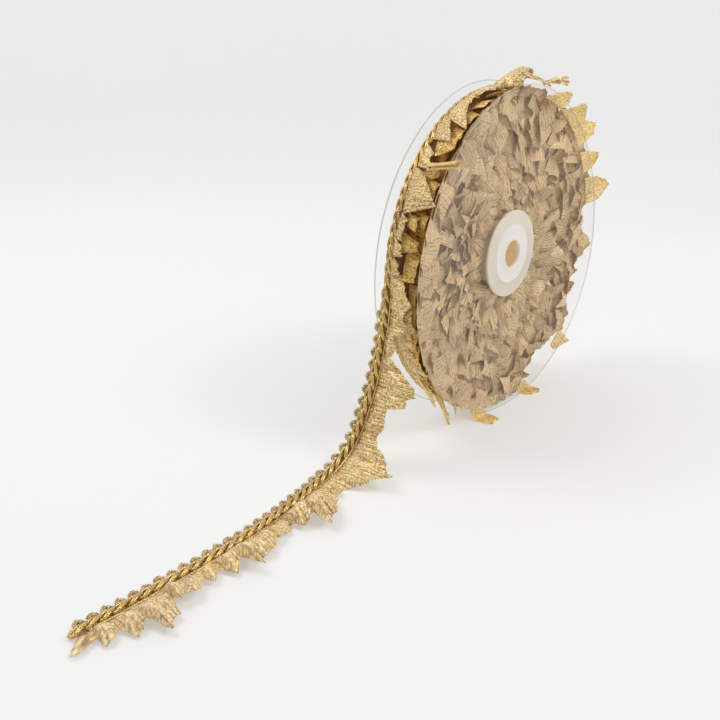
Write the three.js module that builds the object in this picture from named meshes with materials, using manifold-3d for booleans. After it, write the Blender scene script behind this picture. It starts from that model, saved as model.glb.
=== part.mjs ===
// Metallic lace trim wound on a clear reel, with its loose end hung down and laid along the floor.
// Millimetres. While it is built, the reel's axis is along Y at x = 0, the outer face of the near disc is
// at y = 0 and the floor is at z = 0; the whole group is then centred over the floor.
import * as THREE from "three";
import { mergeVertices } from "three/addons/utils/BufferGeometryUtils.js";
import Module from "manifold-3d";

const wasm = await Module();
wasm.setup();

// Reel
const DISC_RADIUS = 75;
const DISC_THICKNESS = 0.8;
const DISC_GAP = 22.5; // from the near disc's outer face to the far disc's inner face
const FOOT_FLAT = 0.2; // height cut off each disc's rim where it stands
const CENTRE_Z = DISC_RADIUS - FOOT_FLAT;
const DISH = 4.4; // how far the trim presses the near disc's rim out from its middle
const WARP = 1.6; // how far the near disc's rim also bends out and in
const WARP_ANGLE = THREE.MathUtils.degToRad(151); // direction in which it bends outwards most
const DISC_STEPS = 96;

// Hub
const CAP_RADIUS = 20;
const CAP_THICKNESS = 1.1;
const CAP_CLEARANCE = 0.4;
const BOSS_RADIUS = 13.6;
const BOSS_HEIGHT = 0.6;
const BORE_RADIUS = 6.3;
const BARREL_RADIUS = 17;
const BARREL_WALL = 1.7;
const END_WALL = 1.2;
const EDGE_ROUND = 0.3;
const HUB_STEPS = 40;

// Trim
const GAP = 0.3; // between pieces that touch
const CHAIN_Y = 17.5; // middle of the chain on the roll
const CHAIN_HALF = 1.7; // half of the chain's width
const CHAIN_HEIGHT = 2.2;
const LOOP_PITCH = 5.3;
const LOOP_STEPS = 3;
const PICOT_WIDTH = 2.7;
const PICOT_DIP = 1.1; // depth of the scallops between two picots
const PICOT_SPREAD = 1; // how much wider the picots stand once they are clear of the far disc
const SPREAD_FROM = 30; // distances along the loose end between which they widen
const SPREAD_TO = 60;
const RIBBON_THICKNESS = 1;
const ROLL_RADIUS = 73.8; // top of the chain where the trim leaves the roll
const TURN_RISE = 2.3; // thickness of one turn at the chain
const LEAVE_ANGLE = 180; // degrees round the reel at which the trim leaves the roll

// The loose end's route: x and height of the trim's middle, and y of its chain
const ROUTE = [
  { x: -72.9, z: 74.4, chain: CHAIN_Y },
  { x: -73.8, z: 67, chain: CHAIN_Y },
  { x: -74.8, z: 59.5, chain: CHAIN_Y },
  { x: -76.5, z: 51.5, chain: 17.7 },
  { x: -78.4, z: 43, chain: 18 },
  { x: -81, z: 34.5, chain: 18.4 },
  { x: -84.4, z: 26, chain: 18.9 },
  { x: -90, z: 14, chain: 19.7 },
  { x: -95.2, z: 8, chain: 20.2 },
  { x: -102, z: 3.8, chain: 20.4 },
  { x: -109, z: 1.7, chain: 20.1 },
  { x: -117, z: 0.9, chain: 19.2 },
  { x: -133, z: 0.9, chain: 16.2 },
  { x: -150, z: 0.9, chain: 14.2 },
  { x: -167, z: 0.9, chain: 13.3 },
  { x: -183, z: 0.9, chain: 13.1 },
  { x: -197, z: 0.9, chain: 13.5 },
  { x: -209, z: 0.9, chain: 14.1 },
  { x: -221, z: 0.9, chain: 14.6 },
  { x: -236, z: 0.9, chain: 15.3 },
];

// The loose end's folds, a row for each tip and each notch of its cut edge: distance along the chain from
// the roll, reach of the edge from the chain, height of the fold's back and of its edge, and how far the
// edge slides along towards the free end
const FOLDS = [
  { along: 0, reach: 7, back: 0.6, edge: 0, slide: 0 },
  { along: 6, reach: 10.5, back: 1.6, edge: 0.6, slide: 0 },
  { along: 12.5, reach: 8, back: 0.4, edge: 0, slide: 0.5 },
  { along: 16.5, reach: 10, back: 1.6, edge: 0.8, slide: 0 },
  { along: 20, reach: 4, back: 0.4, edge: 0, slide: 0 },
  { along: 24, reach: 6.5, back: 1.2, edge: 0.5, slide: 0 },
  { along: 29, reach: 4, back: 0.4, edge: 0, slide: 0 },
  { along: 32, reach: 9, back: 1, edge: 0.6, slide: 0 },
  { along: 34, reach: 11, back: 0.8, edge: 0.4, slide: 0 },
  { along: 37, reach: 18, back: 1.6, edge: 1.5, slide: 0 },
  { along: 41.5, reach: 21, back: 1.2, edge: 2.5, slide: 0 },
  { along: 44, reach: 16, back: 1, edge: 1, slide: 0 },
  { along: 47, reach: 17, back: 1, edge: 1, slide: 0 },
  { along: 50, reach: 9, back: 0.6, edge: 0, slide: 0 },
  { along: 59, reach: 11, back: 1.6, edge: 1, slide: 0 },
  { along: 62, reach: 8.5, back: 0.6, edge: 0, slide: 0 },
  { along: 67, reach: 11, back: 1, edge: 0.6, slide: 0 },
  { along: 70, reach: 17.5, back: 1.4, edge: 1, slide: -1 },
  { along: 77, reach: 24.5, back: 1.8, edge: 2, slide: 0 },
  { along: 86, reach: 15.5, back: 1.6, edge: 1, slide: 0 },
  { along: 91, reach: 9, back: 0.8, edge: 0.3, slide: 0 },
  { along: 96, reach: 11.7, back: 1.6, edge: 0.8, slide: 0 },
  { along: 99, reach: 7.7, back: 0.4, edge: 0, slide: 0 },
  { along: 103, reach: 14.2, back: 2.5, edge: 1.5, slide: 0 },
  { along: 110, reach: 18.2, back: 4.5, edge: 2.5, slide: 1 },
  { along: 115.5, reach: 22.2, back: 6.5, edge: 3, slide: 2 },
  { along: 117.5, reach: 11.7, back: 4.5, edge: 3.5, slide: 0 },
  { along: 121.5, reach: 11.7, back: 3.5, edge: 0.5, slide: 2 },
  { along: 125, reach: 6.7, back: 0.8, edge: 0, slide: 0 },
  { along: 129, reach: 10.2, back: 2, edge: 1.2, slide: 0 },
  { along: 132, reach: 8.2, back: 0.8, edge: 0.5, slide: 0 },
  { along: 140, reach: 12.7, back: 2.4, edge: 1.5, slide: 1 },
  { along: 147, reach: 13.2, back: 3.2, edge: 1.2, slide: 2 },
  { along: 149.5, reach: 7.7, back: 1.2, edge: 0.8, slide: 0 },
  { along: 153, reach: 19.2, back: 5, edge: 2.5, slide: 0.5 },
  { along: 155.5, reach: 8.2, back: 3, edge: 3, slide: 0 },
  { along: 160, reach: 13.2, back: 4.5, edge: 1, slide: 0.5 },
  { along: 163, reach: 6.2, back: 1, edge: 0.5, slide: 0 },
  { along: 168, reach: 10.7, back: 2.4, edge: 0.5, slide: 1 },
  { along: 171, reach: 7.2, back: 0.8, edge: 0.5, slide: 0 },
  { along: 177, reach: 11.7, back: 2, edge: 1.5, slide: 0 },
  { along: 183, reach: 11.7, back: 3.4, edge: 3, slide: 2 },
  { along: 186, reach: 8.2, back: 1.5, edge: 2, slide: 0 },
  { along: 189, reach: 17.2, back: 3.2, edge: 1, slide: 0 },
  { along: 195.5, reach: 19.2, back: 4.2, edge: 0.4, slide: 1 },
  { along: 198.5, reach: 10.2, back: 1.4, edge: 1, slide: 0 },
  { along: 203.5, reach: 15.7, back: 3.4, edge: 0.5, slide: 1 },
  { along: 206.5, reach: 6.7, back: 1, edge: 0.5, slide: 0 },
  { along: 210.5, reach: 11.7, back: 3, edge: 0.4, slide: 3.5 },
  { along: 212.4, reach: 6, back: 1, edge: 0.6, slide: 1.5 },
  { along: 213.4, reach: 8.6, back: 1.6, edge: 0.4, slide: 8 },
  { along: 214.1, reach: 7.4, back: 0.8, edge: 0, slide: 10.5 },
];

// Petals of the last turn that show between the discs: angle round the reel and half of the angle it
// spans, y and radius of its root and of its tip, and height of its back
const OUTER_PETALS = [
  { angle: 93, half: 5.5, rootY: 16.4, rootRadius: 72.6, tipY: 8, tipRadius: 73.6, back: 0.8 },
  { angle: 86, half: 6, rootY: 15, rootRadius: 71.6, tipY: 4, tipRadius: 81, back: 1.2 },
  { angle: 105, half: 4, rootY: 16, rootRadius: 71.8, tipY: 10, tipRadius: 72.5, back: 0.6 },
  { angle: 114, half: 7, rootY: 16.2, rootRadius: 72, tipY: 6.5, tipRadius: 73, back: 1.6 },
  { angle: 126.5, half: 5, rootY: 16, rootRadius: 71.8, tipY: 6.5, tipRadius: 72.5, back: 1 },
  { angle: 138, half: 1.8, rootY: 12, rootRadius: 70, tipY: -2.6, tipRadius: 79, back: 1 },
  { angle: 136.5, half: 3, rootY: 16, rootRadius: 71.6, tipY: 10.5, tipRadius: 72, back: 0.4 },
  { angle: 148.5, half: 7, rootY: 16.2, rootRadius: 71.8, tipY: 3, tipRadius: 74, back: 2.2 },
  { angle: 157, half: 3.4, rootY: 12, rootRadius: 66, tipY: 3, tipRadius: 68, back: 1.4 },
  { angle: 164, half: 4, rootY: 15.6, rootRadius: 71, tipY: 3.4, tipRadius: 71.6, back: 1 },
  { angle: 171, half: 4.6, rootY: 15.4, rootRadius: 69.5, tipY: 2.6, tipRadius: 71.4, back: 1.2 },
  { angle: 193, half: 5, rootY: 15.4, rootRadius: 68.4, tipY: 4.6, tipRadius: 70.5, back: 0.8 },
  { angle: 203, half: 5, rootY: 15.4, rootRadius: 68.4, tipY: 3.6, tipRadius: 71.5, back: 1.2 },
];

// Petals whose tips stand out past the discs
const RIM_PETALS = [
  { angle: 66, half: 3.4, rootY: 13, rootRadius: 71, tipY: -1.4, tipRadius: 82, back: 0.6 },
  { angle: 75, half: 5, rootY: 14, rootRadius: 71, tipY: 1, tipRadius: 78.5, back: 1 },
  { angle: 57, half: 6, rootY: 13, rootRadius: 71, tipY: -1.6, tipRadius: 79.5, back: 1 },
  { angle: 50, half: 4.5, rootY: 14, rootRadius: 71, tipY: 3, tipRadius: 77, back: 0.8 },
  { angle: 43, half: 7, rootY: 13, rootRadius: 71, tipY: -2, tipRadius: 81.5, back: 1 },
  { angle: 36, half: 4.5, rootY: 14, rootRadius: 71, tipY: 3.4, tipRadius: 77.5, back: 0.8 },
  { angle: 29, half: 7, rootY: 13, rootRadius: 71, tipY: -1.6, tipRadius: 79, back: 1.2 },
  { angle: 20, half: 5, rootY: 14, rootRadius: 71, tipY: 2.6, tipRadius: 77.5, back: 1 },
  { angle: 11, half: 8, rootY: 13, rootRadius: 71, tipY: -3.4, tipRadius: 83.5, back: 1.4 },
  { angle: 1, half: 5, rootY: 14, rootRadius: 71, tipY: 2.8, tipRadius: 78, back: 0.8 },
  { angle: -8, half: 7, rootY: 13, rootRadius: 71, tipY: 2, tipRadius: 80.5, back: 1 },
  { angle: -20, half: 6, rootY: 14, rootRadius: 71, tipY: 3, tipRadius: 76.5, back: 0.8 },
  { angle: -33, half: 7, rootY: 13, rootRadius: 71, tipY: 1.8, tipRadius: 78.5, back: 1 },
  { angle: -48, half: 6, rootY: 13, rootRadius: 71, tipY: -2.4, tipRadius: 81.5, back: 1 },
  { angle: 221, half: 4.4, rootY: 14, rootRadius: 70, tipY: 5, tipRadius: 78, back: 1 },
  { angle: 229, half: 2.6, rootY: 15, rootRadius: 70, tipY: 12, tipRadius: 80.5, back: 0.5 },
  { angle: 242, half: 2.6, rootY: 14, rootRadius: 70, tipY: 9.5, tipRadius: 81.5, back: 0.5 },
];

// Petals that reach the floor and lie flat on it outside the near disc: x, and y of the tip
const FLOOR_PETALS = [
  { x: -21, half: 5, tipY: -6 },
  { x: 19, half: 5, tipY: -4.6 },
];

const HIDDEN_PETALS = 15; // on the far side of the roll, between these angles
const HIDDEN_FROM = -62;
const HIDDEN_TO = 74;
const BURIED_RADIUS = 63; // where the petals' roots end among the turns

// Wound turns: rings of points on the two sides, and the ribbon between the chain and the near disc, with
// the y and radius of each of its rings and the height of its lumps
const ROLL_STEPS = 80;
const FAR_SIDE_RADII = [24, 37, 50, 62];
const NEAR_SIDE_RADII = [71, 65.5, 60, 54.5, 49, 43, 37, 31, 25];
const OUTER_RIBBON = [
  { y: 14.5, radius: 65.5, lumps: 2.5 },
  { y: 9.5, radius: 64, lumps: 4 },
  { y: 4.8, radius: 65.5, lumps: 4.5 },
];
const CRUMPLE = 2.6; // depth of the crumpled edges on the two sides
const PATCH_STEPS = 2.4; // how far one petal reaches round a ring
const PATCH_SHIFT = 1.7; // how far the petals of the next ring are moved round
const LOOSENESS = 2; // how much further out the turns lie away from the loose end
const PETAL_COLUMNS = [-1, -0.35, 0.35, 1]; // places across a petal, as a share of its half width
const PETAL_NARROWING = 0.5; // how much narrower its tip is than its root
const PETAL_LEAN = 9; // degrees by which the tips are turned aside, at most half of it each way
const PETAL_SKEW = 6; // difference in reach of a tip's two corners, at most

const radians = THREE.MathUtils.degToRad;
const lerp = THREE.MathUtils.lerp;

// A fixed, uneven value from 0 to 1 for a whole number
function uneven(index) {
  const value = Math.sin(index * 12.9898 + 4.1) * 43758.5453;
  return value - Math.floor(value);
}

// y of the near disc's outer face at a distance from its centre, before it warps
function dishAt(radius) {
  return DISH * (1 - (radius / DISC_RADIUS) ** 2);
}

// The same with the warp, which also depends on the direction
function bendAt(radius, angle) {
  return dishAt(radius) - WARP * (radius / DISC_RADIUS) ** 2 * Math.cos(2 * (angle - WARP_ANGLE));
}

// A point given by its distance and direction from the reel's axis
function onReel(radius, angle, y) {
  return new THREE.Vector3(radius * Math.cos(angle), y, CENTRE_Z + radius * Math.sin(angle));
}

// Closed skin from points and triples of their indices, turned round if its faces point inwards
function skin(points, triangles) {
  let volume = 0;
  for (let i = 0; i < triangles.length; i += 3) {
    const [a, b, c] = [points[triangles[i]], points[triangles[i + 1]], points[triangles[i + 2]]];
    volume += a.dot(new THREE.Vector3().crossVectors(b, c)) / 6;
  }
  if (volume < 0) {
    triangles.reverse();
  }
  return new THREE.BufferGeometry().setFromPoints(points).setIndex(triangles);
}

// Skin over a row of closed sections with as many points each. Open rows are capped: a section runs along
// one face of the piece and back along the other, so its first point lies opposite its last.
function loft(sections, closed = false) {
  const count = sections[0].length;
  const rows = sections.length;
  const triangles = [];
  const quad = (a, b, c, d) => triangles.push(a, b, c, a, c, d);
  for (let row = 0; row < (closed ? rows : rows - 1); row++) {
    const next = (row + 1) % rows;
    for (let i = 0; i < count; i++) {
      const j = (i + 1) % count;
      quad(row * count + i, row * count + j, next * count + j, next * count + i);
    }
  }
  if (!closed) {
    const last = (rows - 1) * count;
    for (let i = 0; i < count / 2 - 1; i++) {
      const opposite = count - 1 - i;
      quad(i, opposite, opposite - 1, i + 1);
      quad(last + i, last + i + 1, last + opposite - 1, last + opposite);
    }
  }
  return skin(sections.flat(), triangles);
}

// Thin sheet of even thickness on a grid of points, middle[row][column]
function sheet(middle, thickness) {
  const rows = middle.length;
  const columns = middle[0].length;
  const sections = middle.map((line, row) => {
    const before = middle[Math.max(row - 1, 0)];
    const after = middle[Math.min(row + 1, rows - 1)];
    const offsets = line.map((point, column) => {
      const left = line[Math.max(column - 1, 0)];
      const right = line[Math.min(column + 1, columns - 1)];
      const along = new THREE.Vector3().subVectors(after[column], before[column]);
      const across = new THREE.Vector3().subVectors(right, left);
      return along.cross(across).normalize().multiplyScalar(thickness / 2);
    });
    const top = line.map((point, column) => point.clone().add(offsets[column]));
    const bottom = line.map((point, column) => point.clone().sub(offsets[column]));
    return [...top, ...bottom.reverse()];
  });
  return loft(sections);
}

function solidFrom(geometry) {
  const bare = geometry.clone();
  bare.deleteAttribute("normal");
  bare.deleteAttribute("uv");
  const merged = mergeVertices(bare, 1e-4);
  const mesh = new wasm.Mesh({
    numProp: 3,
    vertProperties: new Float32Array(merged.attributes.position.array),
    triVerts: new Uint32Array(merged.index.array),
  });
  mesh.merge();
  return new wasm.Manifold(mesh);
}

function geometryOf(solid) {
  const mesh = solid.getMesh();
  const geometry = new THREE.BufferGeometry();
  geometry.setAttribute("position", new THREE.BufferAttribute(mesh.vertProperties, 3));
  geometry.setIndex(new THREE.BufferAttribute(mesh.triVerts, 1));
  return geometry;
}

function material(colour, roughness, metalness) {
  return new THREE.MeshStandardMaterial({ color: colour, roughness, metalness, flatShading: true });
}

const part = new THREE.Group();

function addMesh(name, geometry, finish) {
  const mesh = new THREE.Mesh(geometry, finish);
  mesh.name = name;
  part.add(mesh);
}

const clear = material("#dfe3e6", 0.1, 0);
const white = material("#f1f1ee", 0.35, 0);
const lame = material("#cbb382", 0.5, 0.6);
const cord = material("#c39a4d", 0.4, 0.7);
const gimp = material("#b99a5c", 0.5, 0.6);

// Clear disc with a round hole for the hub, flat or dished and warped, and cut level where it stands
function disc(outerY, side, bent) {
  const hole = BARREL_RADIUS + GAP;
  const radii = bent ? [hole, 50, DISC_RADIUS] : [hole, DISC_RADIUS];
  const back = side * DISC_THICKNESS;
  const profile = radii.map((radius) => new THREE.Vector2(radius, 0));
  profile.push(...radii.map((radius) => new THREE.Vector2(radius, back)).reverse());
  if (side < 0) {
    profile.reverse();
  }
  profile.push(profile[0].clone());
  const geometry = new THREE.LatheGeometry(profile, DISC_STEPS, Math.PI / 2 - Math.PI / DISC_STEPS);
  geometry.translate(0, outerY, CENTRE_Z);
  const position = geometry.attributes.position;
  for (let i = 0; i < position.count; i++) {
    const x = position.getX(i);
    const height = position.getZ(i) - CENTRE_Z;
    if (bent) {
      position.setY(i, position.getY(i) + bendAt(Math.hypot(x, height), Math.atan2(height, x)));
    }
    position.setZ(i, Math.max(position.getZ(i), 0));
  }
  return geometry;
}

// White hub: a hollow barrel through both discs, with a cap and a low boss outside each
function hub() {
  const nearCap = dishAt(CAP_RADIUS) - CAP_CLEARANCE; // y of the near and far caps' inner faces
  const farCap = DISC_GAP + DISC_THICKNESS + CAP_CLEARANCE;
  const half = (farCap - nearCap) / 2;
  const face = half + CAP_THICKNESS;
  const boss = face + BOSS_HEIGHT;
  const hollow = BARREL_RADIUS - BARREL_WALL;
  const outside = [
    [BORE_RADIUS, boss],
    [BOSS_RADIUS - EDGE_ROUND, face + EDGE_ROUND],
    [BOSS_RADIUS, face],
    [CAP_RADIUS - EDGE_ROUND, face],
    [CAP_RADIUS, face - EDGE_ROUND],
    [CAP_RADIUS, half],
    [BARREL_RADIUS, half],
  ];
  const inside = [
    [hollow, boss - END_WALL - BOSS_HEIGHT],
    [BORE_RADIUS, boss - END_WALL - BOSS_HEIGHT],
  ];
  const loop = [
    ...outside,
    ...outside.map(([radius, y]) => [radius, -y]).reverse(),
    ...inside.map(([radius, y]) => [radius, -y]).reverse(),
    ...inside,
  ];
  const profile = loop.map(([radius, y]) => new THREE.Vector2(radius, y)).reverse();
  profile.push(profile[0].clone());
  const geometry = new THREE.LatheGeometry(profile, HUB_STEPS);
  geometry.translate(0, (nearCap + farCap) / 2, CENTRE_Z);
  return geometry;
}

// Wound turns: a ring with a smooth band at the chain and crumpled ribbon edges on the rest
function woundTurns() {
  const nearFace = DISC_THICKNESS + GAP;
  const farFace = DISC_GAP - GAP;
  const bore = BARREL_RADIUS + GAP + 0.1;
  const picots = farFace - PICOT_WIDTH; // y of the seam between the chain and its picots
  const sections = [];
  for (let step = 0; step < ROLL_STEPS; step++) {
    const turned = step / (ROLL_STEPS - 1); // share of the last turn
    const angle = radians(LEAVE_ANGLE + 0.4 + 359.2 * turned);
    const band = ROLL_RADIUS - TURN_RISE * (1 - turned);
    const patch = (ring) => uneven(Math.floor((step + PATCH_SHIFT * ring) / PATCH_STEPS) * 31 + ring);
    const lump = (ring) => 0.7 * patch(ring) + 0.3 * uneven(step * 17 + ring);
    const fuller = LOOSENESS * (1 + Math.cos(angle));
    const section = [];
    const add = (radius, y) => section.push(onReel(radius, angle, y));
    FAR_SIDE_RADII.forEach((radius, ring) => add(radius, farFace - CRUMPLE * 0.5 * lump(ring)));
    add(band - 1.6, farFace - 0.1);
    add(band - 0.9, picots + GAP);
    add(band, picots - 0.4);
    add(band, CHAIN_Y - CHAIN_HALF);
    OUTER_RIBBON.forEach(({ y, radius, lumps }, i) => add(radius + fuller + lumps * lump(4 + i), y));
    NEAR_SIDE_RADII.forEach((radius, i) => {
      const at = radius + (lump(7 + i) - 0.5) * 3;
      add(at, nearFace + bendAt(at, angle) + 0.1 + CRUMPLE * lump(20 + i));
    });
    add(bore, nearFace + dishAt(bore) + 1 + lump(30));
    add(bore, farFace - 0.6);
    sections.push(section);
  }
  return loft(sections, true);
}

// One petal: a thin sheet that rises from among the turns to its root and runs on to its narrower tip,
// which is turned aside and reaches further at one corner
function petal({ angle, half, rootY, rootRadius, tipY, tipRadius, back }) {
  const lean = PETAL_LEAN * (uneven(angle) - 0.5);
  const skew = PETAL_SKEW * (uneven(angle + 0.5) - 0.5);
  const buried = PETAL_COLUMNS.map((side) => onReel(BURIED_RADIUS, radians(angle + half * side), rootY + 0.4));
  const rows = [0, 0.5, 1].map((out) =>
    PETAL_COLUMNS.map((side) => {
      const narrow = 1 - PETAL_NARROWING * out * out;
      const raised = back * Math.sin(Math.PI * out * 0.8) * (1 - side * side);
      const corner = skew * side * 0.5 * out;
      const at = radians(angle + half * side * narrow + lean * out * out);
      return onReel(lerp(rootRadius, tipRadius + corner, out ** 1.5) + raised, at, lerp(rootY, tipY, out));
    }),
  );
  return sheet([buried, ...rows], RIBBON_THICKNESS);
}

// A petal that comes down between the discs, passes under the near disc's rim and lies on the floor
function floorPetal({ x, half, tipY }) {
  const rise = DISC_RADIUS - Math.sqrt(DISC_RADIUS ** 2 - x ** 2); // floor to the disc's rim at x
  const stations = [
    { y: 12, z: rise + 12, narrow: 1 },
    { y: 7, z: rise + 3, narrow: 1 },
    { y: 2.4, z: 0.9, narrow: 0.95 },
    { y: -1, z: 0.55, narrow: 0.8 },
    { y: tipY, z: 0.55, narrow: 0.5 },
  ];
  const middle = stations.map(({ y, z, narrow }) =>
    [-1, 0, 1].map((side) => new THREE.Vector3(x - half * side * narrow, y, z)),
  );
  return sheet(middle, 0.8);
}

function roll() {
  const hidden = [];
  for (let i = 0; i < HIDDEN_PETALS; i++) {
    const angle = lerp(HIDDEN_FROM, HIDDEN_TO, i / (HIDDEN_PETALS - 1));
    hidden.push({
      angle: angle + 3 * uneven(i),
      half: 4 + 2 * uneven(i + 40),
      rootY: 15.6,
      rootRadius: 70,
      tipY: 6 + 4 * uneven(i + 80),
      tipRadius: 72 + 6 * uneven(i + 120),
      back: 1 + uneven(i + 160),
    });
  }
  let solid = solidFrom(woundTurns());
  for (const row of [...OUTER_PETALS, ...RIM_PETALS, ...hidden]) {
    solid = solid.add(solidFrom(petal(row)));
  }
  for (const row of FLOOR_PETALS) {
    solid = solid.add(solidFrom(floorPetal(row)));
  }
  // a pocket that the petals close in is filled, by keeping the outer skin alone
  const [outer] = solid.decompose().sort((a, b) => b.volume() - a.volume());
  return geometryOf(outer);
}

const middleRoute = new THREE.CatmullRomCurve3(
  ROUTE.map(({ x, z, chain }) => new THREE.Vector3(x, chain, z)),
  false,
  "centripetal",
);
middleRoute.arcLengthDivisions = 800;
const TAIL_LENGTH = middleRoute.getLength();
const ACROSS = new THREE.Vector3(0, -1, 0);

// Place on the loose end: the point under the chain and its outward, or upward, direction
function tailAt(along) {
  const share = THREE.MathUtils.clamp(along / TAIL_LENGTH, 0, 1);
  const point = middleRoute.getPointAt(share);
  const forward = middleRoute.getTangentAt(share);
  const out = new THREE.Vector3().crossVectors(forward, ACROSS).normalize();
  return { point, forward, out };
}

// A value of the folds' table between two rows
function foldAt(along, name) {
  const next = FOLDS.findIndex((row) => row.along > along);
  if (next < 0) {
    return FOLDS[FOLDS.length - 1][name];
  }
  const after = FOLDS[next];
  const before = FOLDS[next - 1];
  const share = (along - before.along) / (after.along - before.along);
  return lerp(before[name], after[name], share);
}

function tailRibbon() {
  const stations = [];
  FOLDS.forEach((row, i) => {
    if (row.along < TAIL_LENGTH) {
      stations.push(row.along);
    }
    const next = FOLDS[i + 1];
    if (next && next.along < TAIL_LENGTH && next.along - row.along > 3.2) {
      stations.push((row.along + next.along) / 2);
    }
  });
  const start = CHAIN_HALF + GAP;
  const middle = stations.map((along) => {
    const { point, forward, out } = tailAt(along);
    return [0, 0.25, 0.5, 0.75, 1].map((share) => {
      const raised = foldAt(along, "back") * Math.sin(Math.PI * share) ** 1.3;
      const lifted = foldAt(along, "edge") * share ** 2;
      const place = point.clone();
      place.addScaledVector(ACROSS, start + foldAt(along, "reach") * share);
      place.addScaledVector(forward, foldAt(along, "slide") * share ** 1.3);
      place.addScaledVector(out, raised + lifted);
      place.z = Math.max(place.z, RIBBON_THICKNESS / 2 + 0.05);
      return place;
    });
  });
  return sheet(middle.reverse(), RIBBON_THICKNESS);
}

// Chain-stitch cord: each loop swells and narrows once
function tailChain() {
  const sections = [];
  const steps = Math.floor((TAIL_LENGTH / LOOP_PITCH) * LOOP_STEPS);
  for (let step = 0; step <= steps; step++) {
    const { point, out } = tailAt((TAIL_LENGTH * step) / steps);
    const swell = 0.76 + 0.24 * Math.cos((2 * Math.PI * step) / LOOP_STEPS);
    const section = [];
    for (let i = 0; i < 8; i++) {
      const turn = ((i + 0.5) * Math.PI) / 4;
      const place = point.clone();
      place.addScaledVector(ACROSS, CHAIN_HALF * swell * Math.cos(turn));
      place.addScaledVector(out, (CHAIN_HEIGHT / 2) * swell * Math.sin(turn) + 0.25);
      section.push(place);
    }
    sections.push(section);
  }
  return loft(sections);
}

// Looped gimp edge: a flat strip whose outer side is scalloped, with a raised bead at each loop
function tailPicot() {
  const sections = [];
  const steps = Math.floor((TAIL_LENGTH / LOOP_PITCH) * LOOP_STEPS);
  for (let step = 0; step <= steps; step++) {
    const along = (TAIL_LENGTH * step) / steps;
    const { point, out } = tailAt(along);
    const swell = 0.5 + 0.5 * Math.cos((2 * Math.PI * (step + 1)) / LOOP_STEPS);
    const width = PICOT_WIDTH + PICOT_SPREAD * THREE.MathUtils.smoothstep(along, SPREAD_FROM, SPREAD_TO);
    const inner = -(CHAIN_HALF + GAP);
    const outer = inner - width + PICOT_DIP * (1 - swell);
    const bead = 0.7 + 0.5 * swell;
    const outline = [
      [inner, 0.6],
      [(inner + outer) / 2, bead],
      [outer, 0.35],
      [outer, -0.6],
      [(inner + outer) / 2, -0.75],
      [inner, -0.6],
    ];
    const section = outline.map(([across, height]) => {
      const place = point.clone();
      place.addScaledVector(ACROSS, across);
      place.addScaledVector(out, height);
      return place;
    });
    sections.push(section);
  }
  return loft(sections);
}

addMesh("flange_near", disc(0, 1, true), clear);
addMesh("flange_far", disc(DISC_GAP + DISC_THICKNESS, -1, false), clear);
addMesh("core", hub(), white);
addMesh("roll", roll(), lame);
addMesh("tail_ribbon", tailRibbon(), lame);
addMesh("tail_chain", tailChain(), cord);
addMesh("tail_picot", tailPicot(), gimp);

const reach = new THREE.Box3().setFromObject(part);
const middlePoint = reach.getCenter(new THREE.Vector3());
part.position.set(-middlePoint.x, -middlePoint.y, -reach.min.z);

export default part;
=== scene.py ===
# %% [markdown]
# # A ruffled metallic trim on a clear reel
# The object is a gold trim as a haberdasher sells it: a narrow ribbed ribbon, gathered into crumpled petals,
# with a chain-stitch cord over its gathers and a looped gimp edge on the other side. It is wound on a clear
# plastic reel. The loose end leaves the roll at the front, hangs down and runs out along the table.
# The solids of the same object are loaded first. They settle every size and place, and each piece that is
# made here lies on them.
# %% Load the frame
import math

import bpy
import numpy as np
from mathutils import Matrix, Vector


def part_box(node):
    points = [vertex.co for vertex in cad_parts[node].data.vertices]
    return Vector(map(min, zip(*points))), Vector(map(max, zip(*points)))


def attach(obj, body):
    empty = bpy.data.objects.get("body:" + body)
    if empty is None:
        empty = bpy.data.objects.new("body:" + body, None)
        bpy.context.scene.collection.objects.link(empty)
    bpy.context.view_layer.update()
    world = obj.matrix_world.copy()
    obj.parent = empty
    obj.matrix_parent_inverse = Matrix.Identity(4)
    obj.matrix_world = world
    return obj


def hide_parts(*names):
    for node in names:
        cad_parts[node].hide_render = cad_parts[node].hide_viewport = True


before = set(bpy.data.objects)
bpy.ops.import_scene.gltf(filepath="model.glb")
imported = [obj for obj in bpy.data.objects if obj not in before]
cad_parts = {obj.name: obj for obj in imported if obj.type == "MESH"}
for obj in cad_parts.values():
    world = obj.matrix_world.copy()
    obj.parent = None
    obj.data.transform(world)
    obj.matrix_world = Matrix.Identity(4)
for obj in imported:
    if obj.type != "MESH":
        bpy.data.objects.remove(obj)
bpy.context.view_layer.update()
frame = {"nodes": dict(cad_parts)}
print("nodes:", ", ".join(frame["nodes"]))

# %% [markdown]
# Everything below is thought of in millimetres on the reel: x and z from the reel's axis line and the table,
# y from the outer face of the near disc. One function turns such points into the frame's metres.
# %% Sizes
MM = 0.001
DISC_GAP = 22.5  # near disc's outer face, at its rim, to far disc's inner face
DISH = 4.4  # how far the trim presses the near disc's rim out from its middle
WARP = 1.6  # how far the near disc's rim also bends out and in
WARP_ANGLE = math.radians(151)

far_low, far_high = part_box("flange_far")
core_low, core_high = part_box("core")
ORIGIN = np.array([(core_low[0] + core_high[0]) / 2, far_low[1] - DISC_GAP * MM, 0.0])
CENTRE_Z = (core_low[2] + core_high[2]) / 2 / MM
DISC_RADIUS = (far_high[0] - far_low[0]) / 2 / MM
DISC_THICKNESS = (far_high[1] - far_low[1]) / MM
CAP_RADIUS = (core_high[0] - core_low[0]) / 2 / MM
HUB_MIDDLE = ((core_low[1] + core_high[1]) / 2 - ORIGIN[1]) / MM
HUB_HALF = (core_high[1] - core_low[1]) / 2 / MM
INNER_FACE = DISC_THICKNESS
FAR_FACE = DISC_GAP


def in_frame(points):
    return np.asarray(points, float) * MM + ORIGIN


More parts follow.
